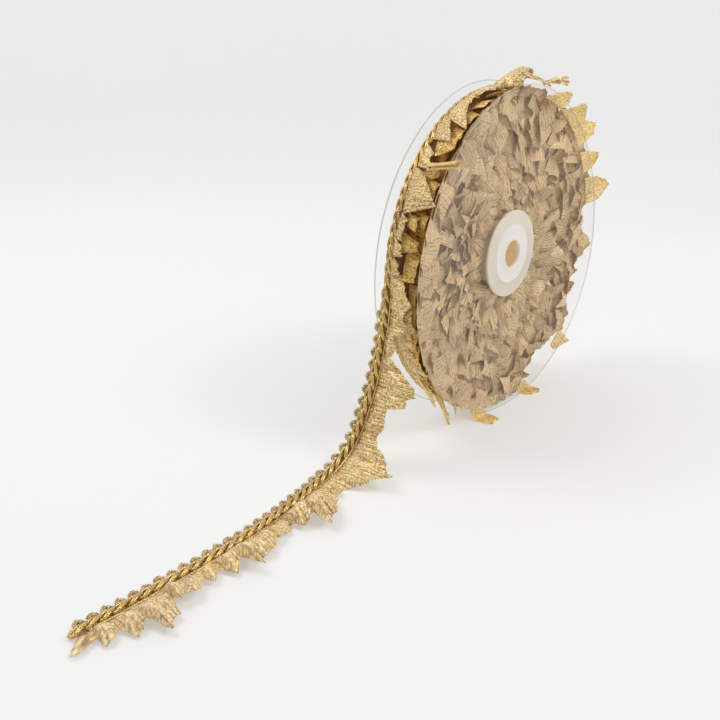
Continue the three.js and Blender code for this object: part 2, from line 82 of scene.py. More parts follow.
def film_at(radius, angle):
    """y of the near disc's outer face, which is dished and warped."""
    share = (radius / DISC_RADIUS) ** 2
    return DISH * (1 - share) - WARP * share * np.cos(2 * (angle - WARP_ANGLE))


def on_reel(radius, angle, y):
    """Points given by distance and direction from the reel's axis."""
    radius, angle, y = np.broadcast_arrays(radius, angle, y)
    return np.stack([radius * np.cos(angle), y, CENTRE_Z + radius * np.sin(angle)], axis=-1)


def smooth(low, high, value):
    share = np.clip((np.asarray(value, float) - low) / (high - low), 0, 1)
    return share * share * (3 - 2 * share)


print(f"discs {2 * DISC_RADIUS:.1f} mm across, axis {CENTRE_Z:.1f} mm up, cap {2 * CAP_RADIUS:.1f} mm")

# %% [markdown]
# ## Camera and table
# The photograph looks down by 22.6 degrees from the front left, so that the near disc and the outside of the
# roll both show. A 50 mm lens on a 36 mm sensor gives its perspective. The table is a pale sheet of paper
# that sweeps up into the backdrop a short way behind the reel, as in a small photo studio.
# %% Camera
CAMERA_PLACE = (-383.9, -220.5, 205.0)
CAMERA_HEADING = math.radians(50.9)  # from +Y towards +X
CAMERA_DIP = math.radians(22.6)

camera_data = bpy.data.cameras.new("camera")
camera_data.lens = 50
camera_data.sensor_width = 36
camera_data.clip_start = 0.01
camera_data.clip_end = 20
camera = bpy.data.objects.new("camera", camera_data)
camera.location = in_frame(CAMERA_PLACE)
heading = Vector((math.sin(CAMERA_HEADING), math.cos(CAMERA_HEADING), 0))
sight = heading * math.cos(CAMERA_DIP) - Vector((0, 0, math.sin(CAMERA_DIP)))
camera.rotation_euler = sight.to_track_quat("-Z", "Y").to_euler()
bpy.context.scene.collection.objects.link(camera)
bpy.context.scene.camera = camera
bpy.context.scene.view_settings.view_transform = "Standard"
print("camera at", [round(v, 3) for v in camera.location])


# %% [markdown]
# ## Two helpers for nodes
# A node tree is clearer to read when each node is one call that says what it does and where its inputs
# come from. The same function serves materials and Geometry Nodes. Sockets that share a name go by number: a
# Map Range takes its value as 0, the range it comes from as 1 and 2 and the range it goes to as 3 and 4, and
# a colour Mix takes its share as 0 and its two colours as 6 and 7. Patterns that don't follow the cloth read
# Object coordinates, which are metres here because every piece sits unturned at the origin.
# %% Node and colour helpers
def add_node(tree, kind, inputs=None, **settings):
    """Adds a node. inputs maps a socket's name or number to a value or to another node's output."""
    node = tree.nodes.new(kind)
    for name, value in settings.items():
        setattr(node, name, value)
    for key, value in (inputs or {}).items():
        if isinstance(value, bpy.types.NodeSocket):
            tree.links.new(value, node.inputs[key])
        else:
            node.inputs[key].default_value = value
    return node


def patches(size):
    """The scale of a noise on Object coordinates whose patches are a number of millimetres across."""
    return 1 / (size * MM)


def colour(hex_code):
    """An sRGB hex colour as linear RGBA."""
    parts = [int(hex_code[i : i + 2], 16) / 255 for i in (1, 3, 5)]
    linear = [c / 12.92 if c <= 0.04045 else ((c + 0.055) / 1.055) ** 2.4 for c in parts]
    return (*linear, 1.0)


def new_material(name):
    """An empty material with its shader: returns the material, its tree and the Principled shader."""
    material = bpy.data.materials.new(name)
    material.use_nodes = True
    tree = material.node_tree
    tree.nodes.clear()
    shader = add_node(tree, "ShaderNodeBsdfPrincipled")
    add_node(tree, "ShaderNodeOutputMaterial", {"Surface": shader.outputs[0]})
    return material, tree, shader


print("helpers for nodes and colours")

# %% [markdown]
# Pieces that no tool makes are built from their points. Faces come from grids of points, and modifiers such
# as Solidify are turned into plain mesh as soon as they have done their work.
# %% Mesh helpers
def make_mesh(name, points, faces, uv=None):
    """A smooth-shaded object from points in reel millimetres, with an optional UV pair for each point."""
    mesh = bpy.data.meshes.new(name)
    mesh.from_pydata(in_frame(points).tolist(), [], [tuple(int(i) for i in face) for face in faces])
    if uv is not None:
        corners = np.zeros(len(mesh.loops), np.int32)
        mesh.loops.foreach_get("vertex_index", corners)
        layer = mesh.uv_layers.new(name="UVMap")
        layer.data.foreach_set("uv", np.asarray(uv, np.float32)[corners].ravel())
    mesh.polygons.foreach_set("use_smooth", [True] * len(mesh.polygons))
    mesh.update()
    thing = bpy.data.objects.new(name, mesh)
    bpy.context.scene.collection.objects.link(thing)
    return thing


def grid_faces(rows, columns, close_rows=False, close_columns=False):
    """Quads over a grid of points that runs row by row."""
    faces = []
    for row in range(rows if close_rows else rows - 1):
        for column in range(columns if close_columns else columns - 1):
            next_row = (row + 1) % rows
            next_column = (column + 1) % columns
            a = row * columns + column
            b = row * columns + next_column
            c = next_row * columns + next_column
            d = next_row * columns + column
            faces.append((a, b, c, d))
    return faces


def apply_modifiers(thing):
    """Turns the result of an object's modifiers into its own plain mesh."""
    graph = bpy.context.evaluated_depsgraph_get()
    mesh = bpy.data.meshes.new_from_object(thing.evaluated_get(graph))
    old = thing.data
    thing.modifiers.clear()
    thing.data = mesh
    mesh.name = thing.name
    bpy.data.meshes.remove(old)


def thicken(thing, thickness):
    """Gives a single sheet its thickness, half to each side."""
    wall = thing.modifiers.new("thickness", "SOLIDIFY")
    wall.thickness = thickness * MM
    wall.offset = 0
    apply_modifiers(thing)


def count(thing):
    triangles = sum(len(face.vertices) - 2 for face in thing.data.polygons)
    print(f"{thing.name}: {triangles} triangles")


print("helpers for meshes")


# %% [markdown]
# The table is one sheet of matt paper that sweeps up behind the reel. It glows a little of its own, painted
# light which keeps the shadows as faint as they are in a tent, where light also comes back from the walls. It
# glows a little less on the wall than on the table, a painted fall-off of the light towards the top.
# %% Table and backdrop
FLOOR_FRONT = -700.0  # distances along the view from the camera's foot
FLOOR_BACK = 800.0
FLOOR_HALF = 1500.0
SWEEP_RADIUS = 70.0
SWEEP_STEPS = 12
WALL_TOP = 900.0
GRAINS_ACROSS = 900.0  # patches of the paper's grain from edge to edge, coarser than real so they show
TABLE_GLOW = 0.34
WALL_GLOW = 0.31
GLOW_FADE = 90.0  # height over which the one becomes the other

paper, tree, shader = new_material("matt white paper")
grain = add_node(tree, "ShaderNodeTexNoise", {"Scale": GRAINS_ACROSS, "Detail": 3.0})
bump = add_node(
    tree,
    "ShaderNodeBump",
    {"Height": grain.outputs[0], "Strength": 0.05, "Distance": 0.2 * MM},
)
tree.links.new(bump.outputs[0], shader.inputs["Normal"])
shader.inputs["Base Color"].default_value = colour("#c5c7c9")
shader.inputs["Roughness"].default_value = 0.7
shader.inputs["Emission Color"].default_value = colour("#fdfdfb")
place = add_node(tree, "ShaderNodeTexCoord")
axes = add_node(tree, "ShaderNodeSeparateXYZ", {0: place.outputs["Object"]})
glow = add_node(
    tree,
    "ShaderNodeMapRange",
    {0: axes.outputs[2], 1: 0.0, 2: GLOW_FADE * MM, 3: TABLE_GLOW, 4: WALL_GLOW},
)
tree.links.new(glow.outputs[0], shader.inputs["Emission Strength"])

section = [(FLOOR_FRONT, 0.0), (0.0, 0.0), (FLOOR_BACK - SWEEP_RADIUS, 0.0)]
for turn in np.radians(np.linspace(0, 90, SWEEP_STEPS + 1)[1:]):
    distance = FLOOR_BACK - SWEEP_RADIUS + SWEEP_RADIUS * math.sin(turn)
    section.append((distance, SWEEP_RADIUS * (1 - math.cos(turn))))
section.append((FLOOR_BACK, WALL_TOP))
side = np.array([math.cos(CAMERA_HEADING), -math.sin(CAMERA_HEADING), 0.0])
ahead = np.array([math.sin(CAMERA_HEADING), math.cos(CAMERA_HEADING), 0.0])
foot = np.array([CAMERA_PLACE[0], CAMERA_PLACE[1], 0.0])
sweep_points = [
    foot + ahead * distance + side * across + np.array([0, 0, height])
    for distance, height in section
    for across in (-FLOOR_HALF, FLOOR_HALF)
]
table = make_mesh("studio_paper", sweep_points, grid_faces(len(section), 2))
table.data.materials.append(paper)
print("table", len(sweep_points), "points")

# %% [markdown]
# The light is that of a white tent: an even pale world and two soft lamps. The key lamp hangs high on the
# left, a little behind the loose end, and gives the petals their short shadows towards the lower right. A
# smaller one hangs in front and brings out the folds of the loose end.
# %% White tent and lamps
LAMP_TARGET = np.array([-70.0, 10.0, 40.0])
LAMPS = [  # name, way from the target, width, watts, tint
    ("key", -side * 420 + ahead * 120 + np.array([0, 0, 620]), 420, 1.55, "#fffaf2"),
    ("front", np.array([160, -420, 560]), 260, 1.5, "#fffaf4"),
]

world = bpy.data.worlds.new("white tent")
world.use_nodes = True
world.node_tree.nodes["Background"].inputs["Color"].default_value = colour("#fbfaf8")
world.node_tree.nodes["Background"].inputs["Strength"].default_value = 0.6
bpy.context.scene.world = world

for name, way, width, watts, tint in LAMPS:
    lamp = bpy.data.lights.new(name, "AREA")
    lamp.shape = "DISK"
    lamp.size = width * MM
    lamp.energy = watts
    lamp.color = colour(tint)[:3]
    holder = bpy.data.objects.new(name, lamp)
    holder.location = in_frame(LAMP_TARGET + way)
    aim = Vector(in_frame(LAMP_TARGET)) - holder.location
    holder.rotation_euler = aim.to_track_quat("-Z", "Y").to_euler()
    bpy.context.scene.collection.objects.link(holder)
print("white tent with", len(LAMPS), "lamps")

# %% [markdown]
# ## The ribbon's finish
# The ribbon is lamé: a silk-like tape woven with flat metallic yarn. Thick weft ribs run from the gathers to
# the cut edge, about 1.6 mm apart. Painted light brightens their crests and painted shade turns the valleys
# between to a deep golden brown. The pattern follows the UV map, which is in millimetres: u across the ribs
# and v along them. It is a sine across them that drifts a little and fades in patches.
# %% Ribs of the lamé
RIB_PITCH = 1.6
RIB_DEPTH = 0.2
RIB_DRAWN = 0.25  # the patches are four times as long along the ribs as across them
RIB_DRIFTS = 0.3  # how often the ribs wander to one side, for each millimetre
RIB_DRIFT = 2.2  # how far they wander
RIB_FADES = 0.45  # how often a patch of ribs fades, for each millimetre
FADED_RIB = 0.3  # how much of a rib is left where it fades
VALLEY_EDGE = -0.5  # the part of the sine below this is valley


def rib_pattern(tree, uv, u, ribs):
    """The light on the ribs, from their valleys to 1 on their crests. ribs says how strongly they show."""
    drawn_out = add_node(
        tree,
        "ShaderNodeMapping",
        {"Vector": uv, "Scale": (1.0, RIB_DRAWN, 1.0)},
    )
    drift = add_node(
        tree,
        "ShaderNodeTexNoise",
        {"Vector": drawn_out.outputs[0], "Scale": RIB_DRIFTS, "Detail": 2.0},
    )
    shifted = add_node(
        tree,
        "ShaderNodeMath",
        {0: drift.outputs[0], 1: RIB_DRIFT, 2: u},
        operation="MULTIPLY_ADD",
    )
    turn = add_node(
        tree,
        "ShaderNodeMath",
        {0: shifted.outputs[0], 1: math.tau / RIB_PITCH},
        operation="MULTIPLY",
    )
    wave = add_node(tree, "ShaderNodeMath", {0: turn.outputs[0]}, operation="SINE")
    rib = add_node(
        tree,
        "ShaderNodeMapRange",
        {0: wave.outputs[0], 1: -1.0, 2: VALLEY_EDGE, 3: 0.0, 4: 1.0},
    )
    patch = add_node(
        tree,
        "ShaderNodeTexNoise",
        {"Vector": drawn_out.outputs[0], "Scale": RIB_FADES, "Detail": 1.0},
    )
    shown = add_node(
        tree,
        "ShaderNodeMapRange",
        {0: patch.outputs[0], 1: 0.38, 2: 0.6, 3: 1 - ribs * FADED_RIB, 4: 1 - ribs},
    )
    lit = add_node(tree, "ShaderNodeMapRange", {0: rib.outputs[0], 3: shown.outputs[0], 4: 1.0})
    return lit.outputs[0]


print(f"a rib every {RIB_PITCH} mm")

# %% [markdown]
# The metallic yarn floats over the ribs in short stitches, so that the cloth sparkles: some floats get a
# painted glint, and brown points in the valleys' painted shade show where they meet. Cells of a Voronoi
# pattern, squeezed to a stitch's size, give each float its own chance. The real floats are finer and are
# drawn coarse enough to show.
# %% Floats of metallic yarn
STITCH_LENGTH = 0.85
STITCH_PITCH = 0.6
STITCH_DEPTH = 0.12


def float_pattern(tree, uv):
    """The cells of the floats: their three chances and the distance from their middles."""
    squeezed = add_node(
        tree,
        "ShaderNodeMapping",
        {"Vector": uv, "Scale": (1 / STITCH_PITCH, 1 / STITCH_LENGTH, 1.0)},
    )
    stitch = add_node(
        tree,
        "ShaderNodeTexVoronoi",
        {"Vector": squeezed.outputs[0], "Scale": 1.0, "Randomness": 0.8},
    )
    sparkle = add_node(tree, "ShaderNodeSeparateColor", {0: stitch.outputs["Color"]})
    return sparkle.outputs, stitch.outputs["Distance"]


print(f"floats of {STITCH_LENGTH} by {STITCH_PITCH} mm")

# %% [markdown]
# The material lays these over one another: ribs with painted light on their crests and painted shade in their
# valleys, floats with painted glints, brown points, a cloudy change of tone, a tone of its own for each
# petal, painted shade in the band where the ribbon is packed under the chain, and the pale tip of the loose
# end.
# Metallic stays low, because most of the thread is silk.
# %% Lamé ribbon
CLOUD_SIZE = 8.33
GATHER_SHADE_WIDTH = 4.0  # breadth of the dark band under the chain
GATHER_SHADE_BROWN = "#7a5220"
PALE_TIP = "#f6e2ca"
PALE_FROM, PALE_TO = 50.0, 200.0  # along the loose end


def lame_ribbon(
    name, crest, valley, glow, metal, ribs, dots, varied=0.0, glows=0.0, gathers=-9.0, pales=0.0
):
    """Ribbed metallic ribbon: colours of its crests, lit by painted light, of its valleys, in painted shade,
    and of its brightest threads, their painted glints; how strongly its ribs and its sunk points show, how
    much darker a petal may be than its neighbour and how much light comes through from behind, drawn as a
    glow. Below v = gathers it darkens with painted shade, and it pales by a share towards the tip."""
    material, tree, shader = new_material(name)
    uv = add_node(tree, "ShaderNodeUVMap", uv_map="UVMap").outputs[0]
    split = add_node(tree, "ShaderNodeSeparateXYZ", {0: uv})
    place = add_node(tree, "ShaderNodeTexCoord")
    petal = add_node(tree, "ShaderNodeNewGeometry")
    rib_light = rib_pattern(tree, uv, split.outputs[0], ribs)
    chances, from_middle = float_pattern(tree, uv)

    ground = add_node(
        tree,
        "ShaderNodeMix",
        {0: rib_light, 6: colour(valley), 7: colour(crest)},
        data_type="RGBA",
    )
    # painted glints: some floats are mixed towards the glow colour
    glint_share = add_node(tree, "ShaderNodeMapRange", {0: chances[0], 1: 0.4, 2: 0.9, 3: 0.0, 4: 0.7})
    lit = add_node(
        tree,
        "ShaderNodeMix",
        {0: glint_share.outputs[0], 6: ground.outputs[2], 7: colour(glow)},
        data_type="RGBA",
    )
    sunk = add_node(tree, "ShaderNodeMapRange", {0: from_middle, 1: 0.42, 2: 0.72, 3: 0.0, 4: dots})
    dotted = add_node(
        tree,
        "ShaderNodeMix",
        {0: sunk.outputs[0], 6: lit.outputs[2], 7: colour(valley)},
        data_type="RGBA",
    )

    cloud = add_node(
        tree,
        "ShaderNodeTexNoise",
        {"Vector": place.outputs["Object"], "Scale": patches(CLOUD_SIZE), "Detail": 3.0},
    )
    tone = add_node(
        tree,
        "ShaderNodeMapRange",
        {0: cloud.outputs[0], 1: 0.3, 2: 0.7, 3: 0.9, 4: 1.06},
    )
    own = add_node(
        tree,
        "ShaderNodeMapRange",
        {0: petal.outputs["Random Per Island"], 3: 1 - varied, 4: 1.0},
    )
    value = add_node(
        tree,
        "ShaderNodeMath",
        {0: tone.outputs[0], 1: own.outputs[0]},
        operation="MULTIPLY",
    )
    toned = add_node(
        tree,
        "ShaderNodeHueSaturation",
        {"Value": value.outputs[0], "Color": dotted.outputs[2]},
    )

    # painted shade: the ribbon turns brown where it is packed under the chain, below v = gathers
    gather_shade = add_node(
        tree,
        "ShaderNodeMapRange",
        {0: split.outputs[1], 1: gathers, 2: gathers + GATHER_SHADE_WIDTH, 3: 0.6, 4: 0.0},
    )
    deep = add_node(
        tree,
        "ShaderNodeMix",
        {0: gather_shade.outputs[0], 6: toned.outputs[0], 7: colour(GATHER_SHADE_BROWN)},
        data_type="RGBA",
    )
    paled = add_node(
        tree,
        "ShaderNodeMapRange",
        {0: split.outputs[0], 1: PALE_FROM, 2: PALE_TO, 3: 0.0, 4: pales},
    )
    final = add_node(
        tree,
        "ShaderNodeMix",
        {0: paled.outputs[0], 6: deep.outputs[2], 7: colour(PALE_TIP)},
        data_type="RGBA",
    )
    tree.links.new(final.outputs[2], shader.inputs["Base Color"])
    tree.links.new(final.outputs[2], shader.inputs["Emission Color"])
    shader.inputs["Emission Strength"].default_value = glows
    shader.inputs["Metallic"].default_value = metal
    shader.inputs["Specular IOR Level"].default_value = 0.2

    # each float has a roughness of its own, and ribs and floats stand up
    rough = add_node(tree, "ShaderNodeMapRange", {0: chances[2], 3: 0.36, 4: 0.62})
    tree.links.new(rough.outputs[0], shader.inputs["Roughness"])
    low = add_node(
        tree,
        "ShaderNodeBump",
        {"Height": rib_light, "Strength": 1.0, "Distance": RIB_DEPTH * ribs * MM},
    )
    high = add_node(
        tree,
        "ShaderNodeBump",
        {
            "Height": from_middle,
            "Normal": low.outputs[0],
            "Strength": 0.6,
            "Distance": STITCH_DEPTH * MM,
        },
        invert=True,
    )
    tree.links.new(high.outputs[0], shader.inputs["Normal"])
    return material


print("lamé pales over", PALE_TO - PALE_FROM, "mm of the loose end")
# %% [markdown]
# One cloth is painted in a tone for the light where it lies: pale and lit on top of the roll, golden on the
# table, tan in painted shade behind the film, deep gold in painted shade between the turns below, and darker
# still and brown in the gaps where little light comes. The light that passes through thin cloth is drawn as a
# faint glow of its own colour.
# %% Seven lit and shaded tones of the ribbon
ribbon_lit_pale = lame_ribbon(
    "pale lamé ribbon", "#ffdf9c", "#7c4c0c", "#fff4cc",
    metal=0.25, ribs=0.7, dots=0.65, varied=0.15, glows=0.04,
)
ribbon_gold = lame_ribbon(
    "golden lamé ribbon", "#fddc98", "#704408", "#fff4d0",
    metal=0.3, ribs=0.85, dots=0.6, glows=0.03, gathers=1.0, pales=0.2,
)
ribbon_rim = lame_ribbon(
    "lamé ribbon lit from behind", "#fbdc96", "#a87424", "#fff0c0",
    metal=0.25, ribs=0.8, dots=0.5, varied=0.15, glows=0.14,
)
ribbon_shaded_side = lame_ribbon(
    "lamé ribbon, side of the roll", "#ffdca6", "#54300a", "#fff0ca",
    metal=0.2, ribs=0.75, dots=0.25, varied=0.42, glows=0.05, gathers=1.5,
)
ribbon_shaded_deep = lame_ribbon(
    "deep lamé ribbon", "#fccc70", "#6a3c06", "#ffe8a8",
    metal=0.3, ribs=0.6, dots=0.6, varied=0.35, glows=0.09,
)
ribbon_shaded_low = lame_ribbon(
    "lamé ribbon below the last turn", "#c08c3c", "#4a2c08", "#d8a858",
    metal=0.35, ribs=0.5, dots=0.4, varied=0.2,
)
ribbon_shaded_dark = lame_ribbon(
    "shaded lamé ribbon", "#8e6838", "#50381a", "#9c7444",
    metal=0.1, ribs=0.5, dots=0.4, glows=0.04,
)
print("seven tones of lamé ribbon")


# %% [markdown]
# The cords are metallic gimp: a fine metal foil wound round a cotton core. Foil lies smooth, so it is
# brighter, yellower and less rough than the ribbon, with fine turns across the cord.
# %% Metallic cord and gimp
FOIL_DEPTH = 0.12
CORD_PATCH = 11.1  # size of the patches where the foil is worn duller


def foil_cord(name, tint, shade, rough, metal, turn_size):
    """Foil-wound cord: colours of its foil and of the shade between its turns, and the turns' size."""
    material, tree, shader = new_material(name)
    place = add_node(tree, "ShaderNodeTexCoord")
    turns = add_node(
        tree,
        "ShaderNodeTexNoise",
        {
            "Vector": place.outputs["Object"],
            "Scale": patches(turn_size),
            "Detail": 2.0,
            "Roughness": 0.6,
        },
    )
    patch = add_node(
        tree,
        "ShaderNodeTexNoise",
        {"Vector": place.outputs["Object"], "Scale": patches(CORD_PATCH), "Detail": 2.0},
    )
    blend = add_node(
        tree,
        "ShaderNodeMapRange",
        {0: turns.outputs[0], 1: 0.35, 2: 0.62, 3: 0.0, 4: 1.0},
    )
    mixed = add_node(
        tree,
        "ShaderNodeMix",
        {0: blend.outputs[0], 6: colour(shade), 7: colour(tint)},
        data_type="RGBA",
    )
    tone = add_node(
        tree,
        "ShaderNodeMapRange",
        {0: patch.outputs[0], 1: 0.3, 2: 0.7, 3: 0.85, 4: 1.1},
    )
    toned = add_node(
        tree,
        "ShaderNodeHueSaturation",
        {"Value": tone.outputs[0], "Color": mixed.outputs[2]},
    )
    tree.links.new(toned.outputs[0], shader.inputs["Base Color"])
    shader.inputs["Metallic"].default_value = metal
    shader.inputs["Roughness"].default_value = rough
    bump = add_node(
        tree,
        "ShaderNodeBump",
        {"Height": turns.outputs[0], "Strength": 0.6, "Distance": FOIL_DEPTH * MM},
    )
    tree.links.new(bump.outputs[0], shader.inputs["Normal"])
    return material


cord_gold = foil_cord("gold foil cord", "#ffe29a", "#86500e", 0.24, 0.7, 0.3)
gimp_gold = foil_cord("crimped gold gimp", "#f4dcb0", "#8e6a34", 0.42, 0.35, 0.5)
print("cord and gimp")

# %% [markdown]
# ## The reel
# The discs are die-cut from clear film, as stiff as a yoghurt lid. The near one has bent a little and shows
# the trim through a warm grey haze, because it mirrors the white tent at this angle, and a little more of it
# at the left. Only their rims, where light is caught inside the sheet, draw a clear line. The haze is part of
# the shader's own colour, with an alpha that lets the trim show through, so it survives in the exported
# model.
# %% Clear film
SMEAR_SIZE = 38.5
SMEAR_DEPTH = 0.4
REFLECTION_REACH = 50.0  # from the axis to the left, over which the painted reflection grows


def clear_film(name, tint, alpha, rough, left_reflection=0.0):
    """Film with a thin veil, a painted reflection of the tent, and as much more of it as left_reflection says
    where its left side mirrors the tent.
    """
    material, tree, shader = new_material(name)
    place = add_node(tree, "ShaderNodeTexCoord")
    axes = add_node(tree, "ShaderNodeSeparateXYZ", {0: place.outputs["Object"]})
    axis_x = float(ORIGIN[0])
    leftward = add_node(
        tree,
        "ShaderNodeMapRange",
        {0: axes.outputs[0], 1: axis_x, 2: axis_x - REFLECTION_REACH * MM, 3: 0.0, 4: left_reflection},
    )
    smear = add_node(
        tree,
        "ShaderNodeTexNoise",
        {"Vector": place.outputs["Object"], "Scale": patches(SMEAR_SIZE), "Detail": 3.0},
    )
    dust = add_node(
        tree,
        "ShaderNodeMapRange",
        {0: smear.outputs[0], 1: 0.3, 2: 0.75, 3: rough, 4: rough + 0.1},
    )
    tree.links.new(dust.outputs[0], shader.inputs["Roughness"])
    veil = add_node(
        tree,
        "ShaderNodeMapRange",
        {0: smear.outputs[0], 1: 0.3, 2: 0.75, 3: alpha * 0.7, 4: alpha * 1.4},
    )
    # painted reflection: more veil towards the left, where the film mirrors the tent
    veil_and_reflection = add_node(
        tree,
        "ShaderNodeMath",
        {0: veil.outputs[0], 1: leftward.outputs[0]},
        operation="ADD",
    )
    tree.links.new(veil_and_reflection.outputs[0], shader.inputs["Alpha"])
    wave = add_node(
        tree,
        "ShaderNodeBump",
        {"Height": smear.outputs[0], "Strength": 0.25, "Distance": SMEAR_DEPTH * MM},
    )
    tree.links.new(wave.outputs[0], shader.inputs["Normal"])
    shader.inputs["Base Color"].default_value = colour(tint)
    shader.inputs["IOR"].default_value = 1.57
    return material


near_film = clear_film("clear film, near disc", "#d4c0ac", 0.08, 0.1, 0.03)
far_film = clear_film("clear film, far disc", "#dfe3e6", 0.03, 0.08)
near_rim = clear_film("cut rim of the near disc", "#c8c2be", 0.38, 0.25)
far_rim = clear_film("cut rim of the far disc", "#98a09a", 0.55, 0.25)
print("four tones of clear film")

# %% [markdown]
# Each disc is one closed ring of points turned round the axis: out along one face, over the rounded rim and
# back along the other. The near one follows its dish and warp, and neither reaches below the table.
# %% Clear discs
RIM_ROUND = 0.25
HUB_HOLE = 17.3
DISC_STEPS = 192
FILM_RINGS = 16  # points from the hole to where the rim starts to round


def clear_disc(name, outer_y, back, bend):
    """A disc of film with rounded rim, bent if bend is 1. back is +1 if its other face lies towards +Y."""
    radii = np.linspace(HUB_HOLE, DISC_RADIUS - RIM_ROUND, FILM_RINGS)
    profile = [(r, 0.0) for r in radii]
    profile.append((DISC_RADIUS, back * RIM_ROUND))
    profile.append((DISC_RADIUS, back * (DISC_THICKNESS - RIM_ROUND)))
    profile += [(r, back * DISC_THICKNESS) for r in radii[::-1]]
    ring_radius, ring_y = np.array(profile).T
    rows = []
    for angle in np.linspace(0, math.tau, DISC_STEPS, endpoint=False):
        rows.append(on_reel(ring_radius, angle, ring_y + outer_y + bend * film_at(ring_radius, angle)))
    points = np.concatenate(rows)
    points[:, 2] = np.maximum(points[:, 2], 0)
    faces = grid_faces(DISC_STEPS, len(profile), close_rows=True, close_columns=True)
    if back < 0:
        faces = [face[::-1] for face in faces]
    disc = make_mesh(name, points, faces)
    rim = range(FILM_RINGS - 1, FILM_RINGS + 2)
    for index, face in enumerate(disc.data.polygons):
        face.material_index = 1 if index % len(profile) in rim else 0
    return disc


disc_near = clear_disc("disc_near", 0.0, 1, 1)
disc_near.data.materials.append(near_film)
disc_near.data.materials.append(near_rim)
disc_far = clear_disc("disc_far", DISC_GAP + DISC_THICKNESS, -1, 0)
disc_far.data.materials.append(far_film)
disc_far.data.materials.append(far_rim)
for disc, node in ((disc_near, "flange_near"), (disc_far, "flange_far")):
    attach(disc, "root")
    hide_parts(node)
    count(disc)

# %% [markdown]
# The hub is moulded in white plastic that lets some light through, so it glows softly. It has three looks:
# its thick middle is nearly white; its cap is only 1.1 mm thick outside the boss, so the light from the trim
# behind it is painted into its colour as a warmer tint; and the wall of its hollow barrel has the tan of the
# trim, lit from behind, painted into its colour and into a glow of its own.
# %% White polypropylene
POLYPROPYLENE_IOR = 1.49
PIT_SIZE = 0.714  # real pits are finer, and these are as coarse as they need to be to show
PIT_DEPTH = 0.05


def moulded_plastic(name, dark, light, flow_size, rough):
    """Plastic with faint clouds from its flow in the mould: the material, its tree, shader and tint."""
    material, tree, shader = new_material(name)
    place = add_node(tree, "ShaderNodeTexCoord")
    flow = add_node(
        tree,
        "ShaderNodeTexNoise",
        {"Vector": place.outputs["Object"], "Scale": patches(flow_size), "Detail": 4.0},
    )
    tint = add_node(
        tree,
        "ShaderNodeMix",
        {0: flow.outputs[0], 6: colour(dark), 7: colour(light)},
        data_type="RGBA",
    )
    tree.links.new(tint.outputs[2], shader.inputs["Base Color"])
    shader.inputs["Roughness"].default_value = rough
    return material, tree, shader, tint


def let_light_in(shader, weight, depths):
    """Light that enters the plastic and comes out again nearby, by depths in metres for red, green, blue."""
    shader.inputs["IOR"].default_value = POLYPROPYLENE_IOR
    shader.inputs["Subsurface Weight"].default_value = weight
    shader.inputs["Subsurface Radius"].default_value = depths
    shader.inputs["Subsurface Scale"].default_value = 1.0


hub_white, tree, shader, tint = moulded_plastic(
    "white moulded polypropylene", "#e2dcd6", "#f2efeb", flow_size=16.67, rough=0.38
)
let_light_in(shader, 0.35, (0.004, 0.0035, 0.003))
place = add_node(tree, "ShaderNodeTexCoord")
pit = add_node(
    tree,
    "ShaderNodeTexNoise",
    {"Vector": place.outputs["Object"], "Scale": patches(PIT_SIZE), "Detail": 2.0},
)
bump = add_node(
    tree,
    "ShaderNodeBump",
    {"Height": pit.outputs[0], "Strength": 0.15, "Distance": PIT_DEPTH * MM},
)
tree.links.new(bump.outputs[0], shader.inputs["Normal"])

cap_thin, tree, shader, tint = moulded_plastic(
    "thin white polypropylene over the trim", "#dbcebd", "#ebe2d5", flow_size=11.11, rough=0.34
)
let_light_in(shader, 0.3, (0.004, 0.003, 0.002))

barrel_tan, tree, shader, tint = moulded_plastic(
    "barrel wall with the trim behind it", "#cdb48c", "#e2d2b4", flow_size=4.545, rough=0.5
)
# painted light: the barrel wall glows in its tan as if lit through from behind
tree.links.new(tint.outputs[2], shader.inputs["Emission Color"])
shader.inputs["Emission Strength"].default_value = 0.26
print("three looks of the hub's plastic")

# %% [markdown]
# A rounded profile turned round the axis gives the hub the small radii that moulding leaves, which catch the
# light as thin rings. Only half of the profile is written down, because both ends are alike.
# %% White hub
BOSS_RADIUS = 13.6
BORE_RADIUS = 6.3
BARREL_RADIUS = 17.0
HOLLOW_RADIUS = 15.3
BOSS_HEIGHT = 0.6
CAP_THICKNESS = 1.1
HUB_STEPS = 128
EDGE_MARGIN = 0.1
SHARP_EDGE = math.radians(50)


def hub_profile():
    """Half of the hub's section from the bore out and back, as (radius, distance outwards, inside)."""
    boss = HUB_HALF
    face = boss - BOSS_HEIGHT
    back = face - CAP_THICKNESS
    return [
        (HOLLOW_RADIUS, 0.0, True),
        (HOLLOW_RADIUS, face - 1.6, True),
        (HOLLOW_RADIUS - 0.6, face - 1.2, True),
        (BORE_RADIUS + 0.1, face - 1.2, True),
        (BORE_RADIUS, face - 1.0, False),
        (BORE_RADIUS, boss - 0.35, False),
        (BORE_RADIUS + 0.1, boss - 0.1, False),
        (BORE_RADIUS + 0.4, boss, False),
        (BORE_RADIUS + 1.4, boss, False),
        (BORE_RADIUS + 1.9, boss - 0.3, False),
        (BORE_RADIUS + 2.6, boss - 0.36, False),
        (BOSS_RADIUS - 1.2, boss - 0.12, False),
        (BOSS_RADIUS - 0.4, boss - 0.14, False),
        (BOSS_RADIUS - 0.1, boss - 0.3, False),
        (BOSS_RADIUS, face + 0.12, False),
        (BOSS_RADIUS + 0.15, face, False),
        (CAP_RADIUS - 0.5, face, False),
        (CAP_RADIUS - 0.14, face - 0.14, False),
        (CAP_RADIUS, face - 0.5, False),
        (CAP_RADIUS, back, False),
        (BARREL_RADIUS, back, False),
        (BARREL_RADIUS, 0.0, False),
    ]


